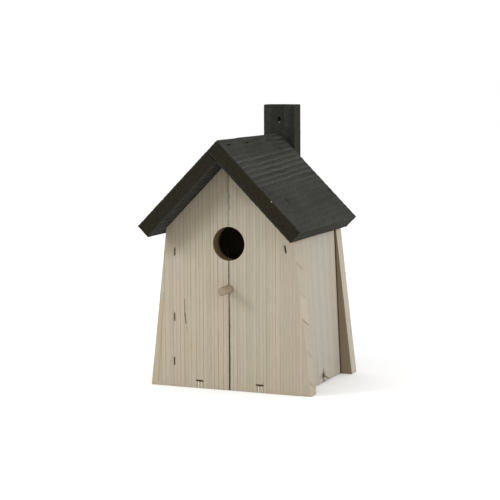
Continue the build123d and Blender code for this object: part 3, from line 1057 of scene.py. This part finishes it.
def stained_board(name, sawn, outward, coats, marks, thick=()):
    """Softwood under a thin charcoal stain that lets the grain through.

    outward is the direction of its show face, and coats how dark that face is. thick
    holds the broad strokes, (start, end, width), where the stain hides the grain."""
    material, tree = new_material(name)
    coordinates, point, normal = surface_point(tree)
    grain, place = sawn.grain(tree, coordinates)
    cloud = tree.stretched(place, (0.05, 0.05, 0.025), 3.0, 0.55)
    show = tree.smooth(cloud, 0.3, 0.55, 0.5, 1.0)
    for start, end, width in thick:
        hidden = mark(tree, point, start, end, width, 6.0)
        show = tree.times(show, tree.smooth(hidden, 0.0, 1.0, 1.0, 0.18))
    colour = tree.mix(tree.smooth(cloud, 0.3, 0.7, 0.0, 0.5), STAIN, STAIN_DARK)
    early = tree.smooth(grain["Swell"], 0.0, 0.75, 1.0, 0.0)
    colour = tree.mix(tree.times(early, tree.times(show, 0.7)), colour, STAIN_PALE)
    late = tree.times(grain["Late Wood"], tree.smooth(grain["Ring Tone"], 0.0, 1.0, 0.4, 1.0))
    colour = tree.mix(tree.times(late, show), colour, STAIN_DARK)
    colour = tree.mix(coats, colour, STAIN_DARK)
    ends = end_grain(tree, normal, sawn.along)
    facing = tree.sum("ABSOLUTE", tree.vector("DOT_PRODUCT", normal, tuple(outward)))
    sides = tree.smooth(facing, 0.5, 0.8, 0.85, 0.0)
    colour = tree.mix(sides, colour, STAIN_EDGE)
    colour = tree.mix(tree.times(ends, 0.9), colour, STAIN_END)
    blotch = tree.noise(point, 0.35, 4.0, 0.7)
    colour = shaded(tree, colour, blotch, 0.72, 1.30)
    colour = shaded(tree, colour, grain["Fibre"], 0.82, 1.16)
    worn, edge = edge_wear(tree, point, 0.3)
    # A pale line along every arris: painted highlight.
    colour = tree.mix(tree.times(edge, 0.30), colour, STAIN_PALE)
    colour = tree.mix(tree.times(worn, 0.6), colour, BARE_WOOD_AND_HIGHLIGHT)
    colour = painted_marks(tree, point, colour, marks)
    saw = tree.stretched(place, (0.5, 0.5, 1.5), 3.0, 0.6)
    height = tree.sum("ADD", tree.times(grain["Fibre"], 0.6), tree.times(grain["Swell"], 0.6))
    height = tree.sum("ADD", height, tree.times(saw, tree.times(ends, 1.4)))
    rough = tree.smooth(grain["Fibre"], 0.2, 0.8, 0.62, 0.80)
    finish_material(tree, colour, rough, height, 0.16, specular=0.06)
    return material


def weathered_metal(name, bright, dull, rust_amount):
    """Drawn steel wire or plated screws: fine scratches, dull patches, spots of rust."""
    material, tree = new_material(name)
    _, point, _ = surface_point(tree)
    patch = tree.noise(point, 0.9, 4.0, 0.6)
    colour = tree.mix(tree.smooth(patch, 0.35, 0.65), bright, dull)
    rust = tree.smooth(tree.noise(point, 1.7, 5.0, 0.7), 0.62 - rust_amount, 0.76 - rust_amount)
    colour = tree.mix(rust, colour, RUST_SPOT)
    scratch = tree.stretched(point, (9.0, 1.0, 9.0), 2.0, 0.5)
    rough = tree.smooth(scratch, 0.3, 0.7, 0.32, 0.50)
    rough = tree.sum("ADD", rough, tree.times(rust, 0.35))
    metal = tree.smooth(rust, 0.0, 1.0, 1.0, 0.1)
    height = tree.sum("ADD", tree.times(scratch, 0.5), rust)
    finish_material(tree, colour, rough, height, 0.03, specular=0.5, metallic=metal)
    return material


def dowel_wood(name):
    """A turned dowel: fibres along it, rings and pores on its sawn end."""
    material, tree = new_material(name)
    coordinates, point, normal = surface_point(tree)
    growth = {"Drift": 1.0, "Waves": 0.2, "Seed": 4.0}
    sawn = Board("perch_dowel", BACK, UP, 2.0, 14.0, 1.5, growth)
    grain, _ = sawn.grain(tree, coordinates)
    colour = tree.mix(tree.smooth(grain["Patch"], 0.3, 0.7), *DOWEL_TONES)
    colour = tree.mix(tree.times(grain["Late Wood"], 0.55), colour, DOWEL_LATE_WOOD)
    ends = end_grain(tree, normal, sawn.along)
    pores = tree.noise(point, 2.2, 3.0, 0.7)
    end_colour = tree.mix(tree.smooth(pores, 0.35, 0.65), *DOWEL_END_TONES)
    colour = tree.mix(tree.times(ends, 0.8), colour, end_colour)
    colour = tree.mix(tree.times(grain["Fleck"], 0.35), colour, DOWEL_FLECK)
    height = tree.sum("ADD", grain["Fibre"], tree.times(ends, pores))
    rough = tree.smooth(grain["Fibre"], 0.2, 0.8, 0.58, 0.74)
    finish_material(tree, colour, rough, height, 0.12, specular=0.25)
    return material


WIRE_STEEL = weathered_metal("galvanised wire", (0.090, 0.062, 0.040), (0.045, 0.030, 0.018), 0.16)
NAIL_STEEL = weathered_metal("nail steel", (0.060, 0.050, 0.040), (0.030, 0.022, 0.015), 0.20)
SCREW_ZINC = weathered_metal("zinc plated screw", (0.40, 0.40, 0.39), (0.20, 0.20, 0.19), 0.02)

# ---- fasteners: where they sit -----------------------------------------------------

INTO_WOOD = {
    "side_wall_staples_front": (BACK, UP),
    "side_wall_staples_back": (-BACK, UP),
    "floor_staples_front": (BACK, RIGHT),
    "floor_staples_back": (-BACK, RIGHT),
    "ridge_staples": (-RIGHT_ROOF_OUT, BACK),
    "roof_staples_right": (-RIGHT_ROOF_OUT, DOWN_RIGHT),
    "roof_staples_left": (-LEFT_ROOF_OUT, DOWN_LEFT),
}
SEATS = {node: surface_seats(node, inward) for node, (inward, _) in INTO_WOOD.items()}
PIVOT_TILT = math.radians(8.0)
PIVOT_CROWN = Vector((-math.sin(PIVOT_TILT), 0, math.cos(PIVOT_TILT)))


def slot_cuts(nodes, directions, face, keep=lambda seat: True):
    """The torn slots of some staples in one face of a board."""
    cuts = []
    for node in nodes:
        for number, seat in enumerate(SEATS[node]):
            if not keep(seat):
                continue
            crown = INTO_WOOD[node][1]
            along = flat_place(directions, crown)
            middle = flat_place(directions, seat)
            length, width = STAPLE_CROWN + SLOT_MARGIN, STAPLE_WIRE + SLOT_MARGIN
            loop = torn_slot(middle, along, length, width, seat.x + seat.z + number)
            cuts.append((face, loop, SLOT_DEPTH, 0.93, None))
    return cuts


def pivot_cut(node, inward, face):
    """The slot over the bar-shaped head of a door pivot."""
    seat = surface_seats(node, inward)[0]
    along = flat_place(GABLE_DIRECTIONS, PIVOT_CROWN)
    loop = torn_slot(flat_place(GABLE_DIRECTIONS, seat), along, *PIVOT_SLOT, 3.0)
    return (face, loop, SLOT_DEPTH, 0.93, None)


def hand_over(piece, node, body):
    """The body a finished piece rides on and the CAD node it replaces."""
    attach(piece, body)
    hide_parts(node)


def fastener_row(name, node, seats, directions, group, values, body):
    """One piece with a fastener at each seat; directions are (crown, outward)."""
    mesh = bpy.data.meshes.new(name)
    mesh.from_pydata([seat * MM for seat in seats], [], [])
    for key, value in zip(("crown", "outward"), directions):
        attribute = mesh.attributes.new(key, "FLOAT_VECTOR", "POINT")
        attribute.data.foreach_set("vector", list(value) * len(mesh.vertices))
    piece = bpy.data.objects.new(name, mesh)
    bpy.context.scene.collection.objects.link(piece)
    apply_tree(piece, group, values)
    for key in ("crown", "outward"):
        if key in piece.data.attributes:
            piece.data.attributes.remove(piece.data.attributes[key])
    hand_over(piece, node, body)


def staple_row(node, seed):
    """The visible staples of one CAD node."""
    inward, crown = INTO_WOOD[node]
    sunk = inward * (STAPLE_WIRE / 2 + CROWN_SUNK)
    seats = [seat + sunk for seat in SEATS[node]]
    values = {"Material": WIRE_STEEL, "Seed": seed}
    directions = (crown, -inward)
    fastener_row(node + "_wire", node, seats, directions, STAPLES, values, "house")


# ---- how each board was sawn -------------------------------------------------------

front_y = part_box("front_board_left")[0].y / MM

# Each row is (along, outward, aside, below, ring spacing, growth).
HOW_SAWN = {
    "front_board_left": (UP, -BACK, 330.0, 60.0, 3.9, {"Drift": 2.5, "Seed": 1.0}),
    "front_board_right": (UP, -BACK, -300.0, 90.0, 3.3, {"Drift": 3.5, "Seed": 2.6}),
    "back_board_left": (UP, BACK, 60.0, 70.0, 4.2, {"Drift": 6.0, "Seed": 3.3}),
    "back_board_right": ((0.01, 0.015, 1), BACK, -40.0, 60.0, 4.4, {"Drift": 6.0, "Seed": 4.1}),
    "side_wall_left": ((0, 0.01, 1), LEFT_WALL_OUT, 30.0, 80.0, 4.0, {"Drift": 6.0, "Seed": 5.2}),
    "cleaning_door": (UP, LOCK_OUT, -160.0, 90.0, 5.0, {"Drift": 5.0, "Seed": 6.4}),
    "floor_board": (RIGHT, UP, 20.0, 60.0, 4.0, {"Drift": 5.0, "Seed": 7.7}),
    "roof_board_left": (
        BACK + LEFT_ROOF_OUT * 0.03, LEFT_ROOF_OUT, 30.0, 60.0, 2.8,
        {"Drift": 9.0, "Waves": 1.6, "Seed": 8.3},
    ),
    "roof_board_right": (
        BACK + RIGHT_ROOF_OUT * 0.035, RIGHT_ROOF_OUT, -34.0, 18.0, 4.0,
        {"Drift": 8.0, "Waves": 1.7, "Wave Length": 20.0, "Seed": 9.1},
    ),
    "hanging_batten": (UP, -BACK, -30.0, 50.0, 3.2, {"Drift": 5.0, "Waves": 0.8, "Seed": 10.5}),
}
SAWN = {node: Board(node, *how) for node, how in HOW_SAWN.items()}

# ---- marks on the wood -------------------------------------------------------------


def crown_shadow(node, colour):
    """Painted shade close round each crown, in its torn slot."""
    reach = INTO_WOOD[node][1] * (STAPLE_CROWN / 2)
    return [(seat - reach, seat + reach, 1.9, colour, 0.9) for seat in SEATS[node]]


BOARD_FOOT = 0.8                # height where the torn wood ends
SEAM_SHADE_TOP = 123.0          # height just below the entrance
ROOF_SHADE_TOP = 216.0          # height of the shade's apex

# Lines below a torn crown: how far to its right, colour and width.
TORN_LINES = [
    (-2.5, SPLIT_AND_SHADE_DARK, 1.4), (-1.1, SPLIT_AND_SHADE_DARK, 1.0), (1.0, SPLIT_AND_SHADE_DARK, 1.1), (2.5, SPLIT_AND_SHADE_DARK, 1.4),
    (-1.8, SPLIT_PALE, 1.4), (1.8, SPLIT_PALE, 1.4),
]


def torn_legs(node, keep):
    """Wood torn loose below both ends of a level crown, down to the foot of the board."""
    marks = []
    for seat in SEATS[node]:
        if not keep(seat):
            continue
        below = Vector((seat.x, seat.y, BOARD_FOOT)) - seat
        marks.append((seat - RIGHT * 3.3 + UP * 0.4, seat + RIGHT * 2.9, 2.8, SPLIT_AND_SHADE_DARK, 0.9))
        for side, colour, width in TORN_LINES:
            top = seat + RIGHT * side
            marks.append((top, top + below + RIGHT * 0.4, width, colour, 0.85))
    return marks


def on_left(seat):
    return seat.x < 0


def on_right(seat):
    return seat.x > 0


def on_front(x, z):
    return Vector((x, front_y, z))


def pivot_shadow(seat):
    return [(seat - PIVOT_CROWN * 3.4, seat + PIVOT_CROWN * 3.4, 1.7, RUST_AND_SHADE, 0.95)]


def seam_shade(side):
    """A dark joint line below the entrance, and painted shade on the joint's walls deeper in."""
    marks = [(on_front(side * 0.1, SEAM_SHADE_TOP), on_front(side * 0.5, 1.0), 0.9, RUST_AND_SHADE, 0.7)]
    # Painted shade on the walls of the joint, at two depths behind the face.
    for depth, width in ((2.2, 3.8), (5.0, 7.0)):
        inner = BACK * depth
        marks.append((on_front(0, SEAM_SHADE_TOP) + inner, on_front(0, 0.0) + inner, width, RUST_AND_SHADE, 0.9))
    return marks


lock_seat = surface_seats("door_lock_screw", -LOCK_OUT)[0]
perch_z = box_middle("perch_dowel").z


def on_door(y, z):
    """A point on the outer face of the cleaning door."""
    return Vector((lock_seat.x - (z - lock_seat.z) * LOCK_OUT.z / LOCK_OUT.x, y, z))


DOOR_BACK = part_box("cleaning_door")[1].y / MM + 1.0
roof_low, roof_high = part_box("roof_board_right")
RIDGE_CORNER = Vector((0, roof_low.y, roof_high.z)) / MM


def on_roof_end(along, depth):
    """A point on the front end of the right roof board."""
    return RIDGE_CORNER + DOWN_RIGHT * along - RIGHT_ROOF_OUT * depth


def on_slope(along, back):
    """A point on the top of the right roof board, from its front ridge corner."""
    return RIDGE_CORNER + DOWN_RIGHT * along + BACK * back


PAINTED_OVERHANG_SHADE = (0.150, 0.120, 0.072)      # painted shade of the roof's overhang, warm


def painted_overhang_shade(side, low, width, strength):
    """Painted shade close under the roof, from the apex outward."""
    apex = on_front(0.0, ROOF_SHADE_TOP)
    return [(apex, on_front(side * low, ROOF_SHADE_TOP - low), width, PAINTED_OVERHANG_SHADE, strength)]


SUNNED_WOOD = (0.345, 0.262, 0.165)
# Painted shade round the perch's root, where it enters the front boards.
PERCH_ROOT_SHADE = (on_front(0.0, perch_z), on_front(0.0, perch_z) + BACK * 4.0, 11.0, SPLIT_AND_SHADE_DARK, 0.55)
sunned_edge = [
    (on_front(-79.0, 2.0), on_front(-71.0, 80.0), 15.0, SUNNED_WOOD, 0.4),
    (on_front(-75.0, 4.0), on_front(-68.0, 90.0), 1.6, LATE_WOOD, 0.35),
]
resin = [
    (on_front(-46.2, 85.0), on_front(-45.9, 73.0), 1.1, RESIN, 0.75),
    (on_front(-45.9, 72.0), on_front(-45.0, 62.1), 1.7, RUST_AND_SHADE, 0.85),
    (on_front(-45.0, 62.0), on_front(-44.8, 55.0), 0.7, RESIN, 0.5),
]
pivot_front = surface_seats("door_pivot_nail_front", BACK)[0]
pivot_back = surface_seats("door_pivot_nail_back", -BACK)[0]
hanging = Vector(frame["record"]["mounts"][0]["pos_m"]) / MM
batten_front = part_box("hanging_batten")[0].y / MM
hole_front = Vector((hanging.x, batten_front, hanging.z))

MARKS = {
    "front_board_left": crown_shadow("side_wall_staples_front", SPLIT_AND_SHADE_DARK)
    # Painted shade in the seam and round the perch's root.
    + torn_legs("floor_staples_front", on_left) + seam_shade(-1) + resin + sunned_edge + [PERCH_ROOT_SHADE]
    # Painted shade under the roof's overhang.
    + painted_overhang_shade(-1, 66.0, 62.0, 0.45),
    "front_board_right": torn_legs("floor_staples_front", on_right)
    # Painted shade in the seam, round the perch's root and under the roof's overhang.
    + seam_shade(1) + pivot_shadow(pivot_front) + [PERCH_ROOT_SHADE] + painted_overhang_shade(1, 24.0, 40.0, 0.30),
    "back_board_left": crown_shadow("side_wall_staples_back", SPLIT_AND_SHADE_DARK)
    + torn_legs("floor_staples_back", on_left),
    "back_board_right": torn_legs("floor_staples_back", on_right) + pivot_shadow(pivot_back)
    # Painted shade in the gap behind the door's back edge.
    + [(on_door(DOOR_BACK, 0.0), on_door(DOOR_BACK, 170.0), 3.2, RUST_AND_SHADE, 0.85)],
    "cleaning_door": [
        (on_door(7.4, 13.4), on_door(7.2, 8.0), 1.5, RUST_AND_SHADE, 0.9),
        (on_door(7.0, 9.5), on_door(-3.4, 5.8), 1.3, SPLIT_AND_SHADE_DARK, 0.85),
        (on_door(7.0, 8.0), on_door(4.6, 2.4), 1.2, RUST_AND_SHADE, 0.85),
        (on_door(8.0, 8.5), on_door(11.4, 3.6), 1.0, SPLIT_AND_SHADE_DARK, 0.8),
        (on_door(9.4, 6.4), on_door(21.7, 1.6), 1.5, SPLIT_AND_SHADE_DARK, 0.8),
        (on_door(8.3, 4.5), on_door(8.3, 1.0), 2.6, RUST_AND_SHADE, 0.85),
        (on_door(5.0, 1.8), on_door(13.0, 1.6), 1.2, SPLIT_AND_SHADE_DARK, 0.6),
    ],
    # Painted shade in the slots round the roof's crowns.
    "roof_board_right": crown_shadow("roof_staples_right", PAINTED_SLOT_SHADE)
    + crown_shadow("ridge_staples", PAINTED_SLOT_SHADE) + [
        (on_roof_end(77.0, 1.2), on_roof_end(77.7, 1.4), 1.2, PAINT_CHIP, 0.9),
        (on_roof_end(73.4, 8.0), on_roof_end(74.0, 8.4), 1.0, BARE_WOOD_AND_HIGHLIGHT, 0.9),
        # A pale line along the front arris of the top: painted highlight.
        (on_slope(6.0, 0.6), on_slope(95.0, 0.6), 1.0, BARE_WOOD_AND_HIGHLIGHT, 0.28),
    ],
    "hanging_batten": [
        (hole_front - UP * 2.4, hole_front - UP * 3.6, 1.6, BARE_WOOD_AND_HIGHLIGHT, 0.6),
    ],
}

# Where the stain is thick enough to hide the grain.
SMOOTH_STAIN = {
    "roof_board_right": [
        (on_slope(88.0, 0.0), on_slope(88.0, 156.0), 76.0),
        (on_slope(4.0, 0.0), on_slope(9.0, 120.0), 44.0),
    ],
}

# ---- making the boards -------------------------------------------------------------


def finish_piece(piece, node, body, material, relief):
    """Raises the grain, then gives the piece its material, body and CAD node."""
    sawn = SAWN[node]
    values = {"Pith": sawn.pith, "Grain Turn": sawn.turn, **sawn.values}
    values["Ring Depth"], values["Hollow Depth"] = relief
    values["Material"] = material
    apply_tree(piece, RELIEF, values)
    hand_over(piece, node, body)


entrance_low, entrance_high = frame["record"]["physics"]["openings"][0]["box_m"]
entrance_z = (entrance_low[2] + entrance_high[2]) / 2 / MM
NOTCHES = [(entrance_z, ENTRANCE_RADIUS), (perch_z, PERCH_HOLE_RADIUS)]

HOLE_BORE = (on_front(0.0, entrance_z), on_front(0.0, entrance_z) + BACK * FRONT_THICKNESS, 68.0)

front_cuts = {
    "front_board_left": slot_cuts(["side_wall_staples_front"], GABLE_DIRECTIONS, "high")
    + slot_cuts(["floor_staples_front"], GABLE_DIRECTIONS, "high", on_left),
    "front_board_right": slot_cuts(["floor_staples_front"], GABLE_DIRECTIONS, "high", on_right)
    + [pivot_cut("door_pivot_nail_front", BACK, "high")],
    "back_board_left": slot_cuts(["side_wall_staples_back"], GABLE_DIRECTIONS, "low")
    + slot_cuts(["floor_staples_back"], GABLE_DIRECTIONS, "low", on_left),
    "back_board_right": slot_cuts(["floor_staples_back"], GABLE_DIRECTIONS, "low", on_right)
    + [pivot_cut("door_pivot_nail_back", -BACK, "low")],
}
for seed, (node, cuts) in enumerate(front_cuts.items()):
    notches = NOTCHES if node.startswith("front") else []
    piece = gable_board(node + "_plank", node, notches, PLANED_ARRIS, GRID_PLAIN, cuts, seed)
    inside = -BACK if node.startswith("back") else None
    bore = None if inside else HOLE_BORE
    tones = BACK_TONES if inside else FRONT_TONES
    material = pale_board(node.replace("_", " "), SAWN[node], tones, 1.0, MARKS[node], inside, bore)
    finish_piece(piece, node, "house", material, PALE_RELIEF)

DOOR_DIRECTIONS = plank_directions(LOCK_OUT)
SPLINTER_DEPTH = 0.38
SPLINTER = [
    (-3.9, 6.0), (0.5, 6.4), (4.0, 6.6), (4.4, 8.6), (5.6, 10.0), (6.6, 10.5), (6.7, 12.9),
    (7.6, 13.4), (8.1, 10.6), (9.4, 10.1), (10.7, 8.8), (11.3, 6.4), (13.5, 4.6), (17.8, 3.2), (21.9, 1.6),
    (15.0, 1.35), (9.6, 1.1), (6.2, 1.0), (4.6, 3.2), (2.4, 4.7), (-0.6, 5.4),
]
splinter_loop = [flat_place(DOOR_DIRECTIONS, on_door(y, z)) for y, z in SPLINTER]
lock_hole = ring(flat_place(DOOR_DIRECTIONS, lock_seat), LOCK_HEAD_HOLE)
splinter_cut = ("high", splinter_loop, SPLINTER_DEPTH, 0.995, (lock_hole, LOCK_HOLE_DEPTH, HOLE_TAPER))
for node, outward, body, cuts in (
    ("side_wall_left", LEFT_WALL_OUT, "house", []),
    ("cleaning_door", LOCK_OUT, "door", [splinter_cut]),
    ("floor_board", UP, "house", []),
):
    piece = plank(node + "_plank", node, outward, PLANED_ARRIS, GRID_PLAIN, cuts, 11)
    lines = 0.35 if node == "cleaning_door" else 0.8
    material = pale_board(node.replace("_", " "), SAWN[node], DOOR_TONES, lines, MARKS.get(node, ()))
    finish_piece(piece, node, body, material, PALE_RELIEF)

roof_cuts = {
    "roof_board_left": (LEFT_ROOF_OUT, ["roof_staples_left"]),
    "roof_board_right": (RIGHT_ROOF_OUT, ["ridge_staples", "roof_staples_right"]),
}
for node, (outward, groups) in roof_cuts.items():
    cuts = slot_cuts(groups, plank_directions(outward), "high")
    piece = plank(node + "_plank", node, outward, STAINED_ARRIS, GRID_RELIEF, cuts, 17)
    material = stained_board(
        node.replace("_", " "), SAWN[node], outward, 0.0, MARKS.get(node, ()), SMOOTH_STAIN.get(node, ()),
    )
    finish_piece(piece, node, "house", material, ROOF_RELIEF)

batten_out = surface_seats("batten_screws", -BACK)
hanging_place = flat_place(GABLE_DIRECTIONS, hanging)
batten_cuts = [("through", ring(hanging_place, HANGING_HOLE_RADIUS, 28), 0, 1.0, None)]
for seat in batten_out:
    loop = ring(flat_place(GABLE_DIRECTIONS, seat), BATTEN_HEAD_HOLE)
    batten_cuts.append(("low", loop, BATTEN_HOLE_DEPTH, HOLE_TAPER, None))
piece = gable_board("hanging_batten_plank", "hanging_batten", [], STAINED_ARRIS, GRID_RELIEF, batten_cuts, 23)
batten_sawn, batten_marks = SAWN["hanging_batten"], MARKS["hanging_batten"]
material = stained_board("hanging batten", batten_sawn, -BACK, BATTEN_COATS, batten_marks)
finish_piece(piece, "hanging_batten", "house", material, BATTEN_RELIEF)

# ---- perch -------------------------------------------------------------------------


def turned_dowel(name, node, radius, chamfer):
    """A dowel with a slightly flat-sided turned surface and a chamfered front end."""
    low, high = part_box(node)
    middle = box_middle(node)
    front, back = low.y / MM, high.y / MM
    mesher = Mesher((RIGHT, UP, -BACK))
    profile = [(radius * 0.35, front + 0.12), (radius * 0.7, front + 0.04), (radius - chamfer, front)]
    profile += [(radius - chamfer * 0.3, front + chamfer * 0.35), (radius, front + chamfer)]
    start, run = front + chamfer, back - front - chamfer
    profile += [(radius, start + run * k / DOWEL_STEPS) for k in range(1, DOWEL_STEPS + 1)]
    rings = []
    for reach, y in profile:
        points = []
        for k in range(DOWEL_SIDES):
            angle = 2 * math.pi * k / DOWEL_SIDES
            uneven = noise.noise(Vector((math.cos(angle) * 1.5, math.sin(angle) * 1.5, y * 0.12)))
            r = reach * (1 - DOWEL_UNEVEN * (uneven + 1))
            points.append((middle.x + r * math.cos(angle), middle.z + r * math.sin(angle), -y))
        rings.append(mesher.add(points))
    close_shell(mesher, rings)
    return mesher.piece(name, weld=0.001)


perch_low, perch_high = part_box("perch_dowel")
perch_radius = (perch_high.x - perch_low.x) / 2 / MM
perch = turned_dowel("perch_dowel_turned", "perch_dowel", perch_radius, PERCH_CHAMFER)
perch.data.materials.append(dowel_wood("perch dowel wood"))
hand_over(perch, "perch_dowel", "house")

# ---- staples, nails and screws -----------------------------------------------------

for seed, node in enumerate(INTO_WOOD):
    staple_row(node, seed + 1)


def pivot_nail(node, inward):
    """A door pivot: a hammered bar for a head, sunk in its slot, and a pointed shank."""
    seat = surface_seats(node, inward)[0]
    points = cad_points(node)
    end = max(p.dot(inward) for p in points) - seat.dot(inward)
    deep = [p - seat for p in points if (p - seat).dot(inward) > PIVOT_BAR[2] * 2]
    radius = max((p - inward * p.dot(inward)).length for p in deep)
    side = inward.cross(PIVOT_CROWN)
    mesher = Mesher((PIVOT_CROWN, side, inward))
    place = Vector((seat.dot(PIVOT_CROWN), seat.dot(side), seat.dot(inward)))
    length, width, thickness = PIVOT_BAR
    bar = torn_slot((0, 0), Vector((1, 0)), length, width, place.z)
    rings = []
    for scale, depth in ((0.86, 0.0), (1.0, 0.18), (1.0, thickness)):
        depth += CROWN_SUNK
        rings.append(mesher.add([place + Vector((p.x * scale, p.y * scale, depth)) for p in bar]))
    close_shell(mesher, rings)
    rings = []
    round_end = ring((0, 0), 1.0, 32)
    for reach, depth in ((radius, CROWN_SUNK + thickness / 2), (radius, end - 3.0), (0.15, end - 0.05)):
        rings.append(mesher.add([place + Vector((p.x * reach, p.y * reach, depth)) for p in round_end]))
    close_shell(mesher, rings)
    piece = mesher.piece(node + "_hammered")
    piece.data.materials.append(NAIL_STEEL)
    hand_over(piece, node, "house")


pivot_nail("door_pivot_nail_front", BACK)
pivot_nail("door_pivot_nail_back", -BACK)


def cross_outline(size, width):
    """The cross recess of a screw head, as a closed loop with slightly round ends."""
    half, arm = width / 2, size / 2
    quarter = [Vector((half, half)), Vector((half, arm * 0.9)), Vector((half * 0.6, arm))]
    quarter += [Vector((-half * 0.6, arm)), Vector((-half, arm * 0.9))]
    return [
        Matrix.Rotation(turn * math.pi / 2, 2) @ corner
        for turn in range(4) for corner in quarter
    ]


def threaded_circle(radius, depth, thread=0.0, sides=40):
    """A ring of points round a screw at a depth below its head, raised by its thread."""
    points = []
    for k in range(sides):
        angle = 2 * math.pi * k / sides
        turn = (depth / SCREW_THREAD_PITCH + angle / (2 * math.pi)) % 1.0
        ridge = max(0.0, 1 - abs(turn - 0.5) * 4)
        reach = radius - thread * (1 - ridge)
        points.append((reach * math.cos(angle), reach * math.sin(angle), -depth))
    return points


def shank_levels(head_radius, shank_radius, length):
    """The rings down a countersunk screw, as (radius, depth, thread)."""
    cone = head_radius - shank_radius
    levels = [(head_radius * 0.97, 0.0, 0.0), (head_radius, 0.15, 0.0)]
    levels.append((shank_radius * 0.85, cone + 0.15, 0.0))
    depth = cone + 0.4
    while depth < length - 0.15:
        taper = 1 - max(0.0, depth - length + SCREW_POINT) / SCREW_POINT
        reach = shank_radius * max(0.12, taper)
        levels.append((reach, depth, min(SCREW_THREAD_DEPTH, reach * 0.3)))
        depth += SCREW_THREAD_PITCH / 8
    levels.append((0.08, length - 0.05, 0.0))
    return levels


def screw_template(name, head_radius, shank_radius, length):
    """One countersunk screw with its head at the origin, pointing down."""
    mesher = Mesher((RIGHT, BACK, UP))
    rim = np.array([p[:2] for p in threaded_circle(head_radius * 0.97, 0.0)])
    cross = cross_outline(head_radius * 1.2, head_radius * 0.32)
    points, triangles = face_triangles(rim, [cross], head_radius / 5)
    mesher.add([(p[0], p[1], 0.0) for p in points])
    mesher.faces += [tuple(t) for t in triangles]
    walls = []
    for depth, scale in ((0.0, 1.0), (head_radius * 0.25, 0.8), (head_radius * 0.45, 0.45)):
        walls.append(mesher.add([(p.x * scale, p.y * scale, -depth) for p in cross]))
    mesher.tube(walls)
    mesher.faces.append(tuple(walls[-1]))
    levels = shank_levels(head_radius, shank_radius, length)
    rings = [mesher.add(threaded_circle(*values)) for values in levels]
    mesher.tube(rings)
    mesher.faces.append(tuple(rings[-1]))
    return mesher.piece(name, weld=0.0005)


def screw_row(node, seats, outward, sizes, body, material, seed):
    """The screws of one CAD node, all copies of one template."""
    template = screw_template(node + "_template", *sizes)
    values = {"Screw": template, "Material": material, "Seed": seed}
    directions = (outward.orthogonal().normalized(), outward)
    fastener_row(node + "_threaded", node, seats, directions, SCREWS, values, body)
    mesh = template.data
    bpy.data.objects.remove(template)
    bpy.data.meshes.remove(mesh)


screw_row("door_lock_screw", [lock_seat], LOCK_OUT, LOCK_SCREW, "lock_screw", NAIL_STEEL, 3)
screw_row("batten_screws", batten_out, BACK, BATTEN_SCREW, "house", SCREW_ZINC, 5)

# ---- floor, light and camera -------------------------------------------------------

FLOOR_SIZE = 60.0
WORLD_STRENGTH = 1.16           # a white room all round
FLOOR_TONES = (0.87, 0.89)
KEY_FROM = (-22.0, -18.5, 15.0)
SIDE_FROM = (1.0, -0.15, 0.25)
WARM_WHITE = (1.0, 0.99, 0.97)
WHITE = (1.0, 1.0, 1.0)
floor_mesh = bpy.data.meshes.new("studio_floor")
reach = FLOOR_SIZE / 2
floor_corners = [(-reach, -reach, 0), (reach, -reach, 0), (reach, reach, 0), (-reach, reach, 0)]
floor_mesh.from_pydata(floor_corners, [], [(0, 1, 2, 3)])
studio_floor = bpy.data.objects.new("studio_floor", floor_mesh)
bpy.context.scene.collection.objects.link(studio_floor)
floor_material, floor_tree = new_material("studio floor")
_, floor_point, _ = surface_point(floor_tree)
floor_tone = floor_tree.smooth(floor_tree.noise(floor_point, 0.01, 2.0, 0.5), 0.3, 0.7, *FLOOR_TONES)
finish_material(floor_tree, grey(floor_tree, floor_tone), 0.9, floor_tone, 0.0, specular=0.1)
floor_mesh.materials.append(floor_material)

world = bpy.data.worlds.new("studio")
world.use_nodes = True
world.node_tree.nodes["Background"].inputs["Color"].default_value = (*WHITE, 1.0)
world.node_tree.nodes["Background"].inputs["Strength"].default_value = WORLD_STRENGTH
bpy.context.scene.world = world
bpy.context.scene.view_settings.view_transform = "Standard"


def soft_light(name, direction, distance, size, power, colour):
    """A square soft box that looks at the middle of the object."""
    middle = (cad_low + cad_high) / 2
    lamp = bpy.data.lights.new(name, "AREA")
    lamp.shape = "SQUARE"
    lamp.size = size
    lamp.energy = power
    lamp.color = colour
    light = bpy.data.objects.new(name, lamp)
    light.location = middle + Vector(direction).normalized() * distance
    light.rotation_mode = "QUATERNION"
    light.rotation_quaternion = Vector(direction).to_track_quat("Z", "Y")
    bpy.context.scene.collection.objects.link(light)
    return light


soft_light("key", KEY_FROM, distance=1.6, size=0.5, power=12.0, colour=WARM_WHITE)
soft_light("side", SIDE_FROM, distance=1.8, size=1.2, power=13.0, colour=WHITE)

CAMERA_TURN = math.radians(22.709)       # round the object from straight in front
CAMERA_PITCH = math.radians(6.724)       # looking down
CAMERA_ROLL = math.radians(-0.355)
CAMERA_DISTANCE = 1516.9
CAMERA_AIM = Vector((-1.6, -4.34, 127.95))
CAMERA_LENS = 112.45
CAMERA_SENSOR = 36.0
ahead = Vector((
    -math.sin(CAMERA_TURN) * math.cos(CAMERA_PITCH),
    math.cos(CAMERA_TURN) * math.cos(CAMERA_PITCH),
    -math.sin(CAMERA_PITCH),
))
level = Vector((math.cos(CAMERA_TURN), math.sin(CAMERA_TURN), 0))
above = level.cross(ahead)
turned_right = level * math.cos(CAMERA_ROLL) + above * math.sin(CAMERA_ROLL)
turned_up = above * math.cos(CAMERA_ROLL) - level * math.sin(CAMERA_ROLL)
camera_data = bpy.data.cameras.new("camera")
camera_data.lens = CAMERA_LENS
camera_data.sensor_width = CAMERA_SENSOR
camera = bpy.data.objects.new("camera", camera_data)
pose = Matrix((turned_right, turned_up, -ahead)).transposed().to_4x4()
pose.translation = (CAMERA_AIM - ahead * CAMERA_DISTANCE) * MM
camera.matrix_world = pose
bpy.context.scene.collection.objects.link(camera)
bpy.context.scene.camera = camera
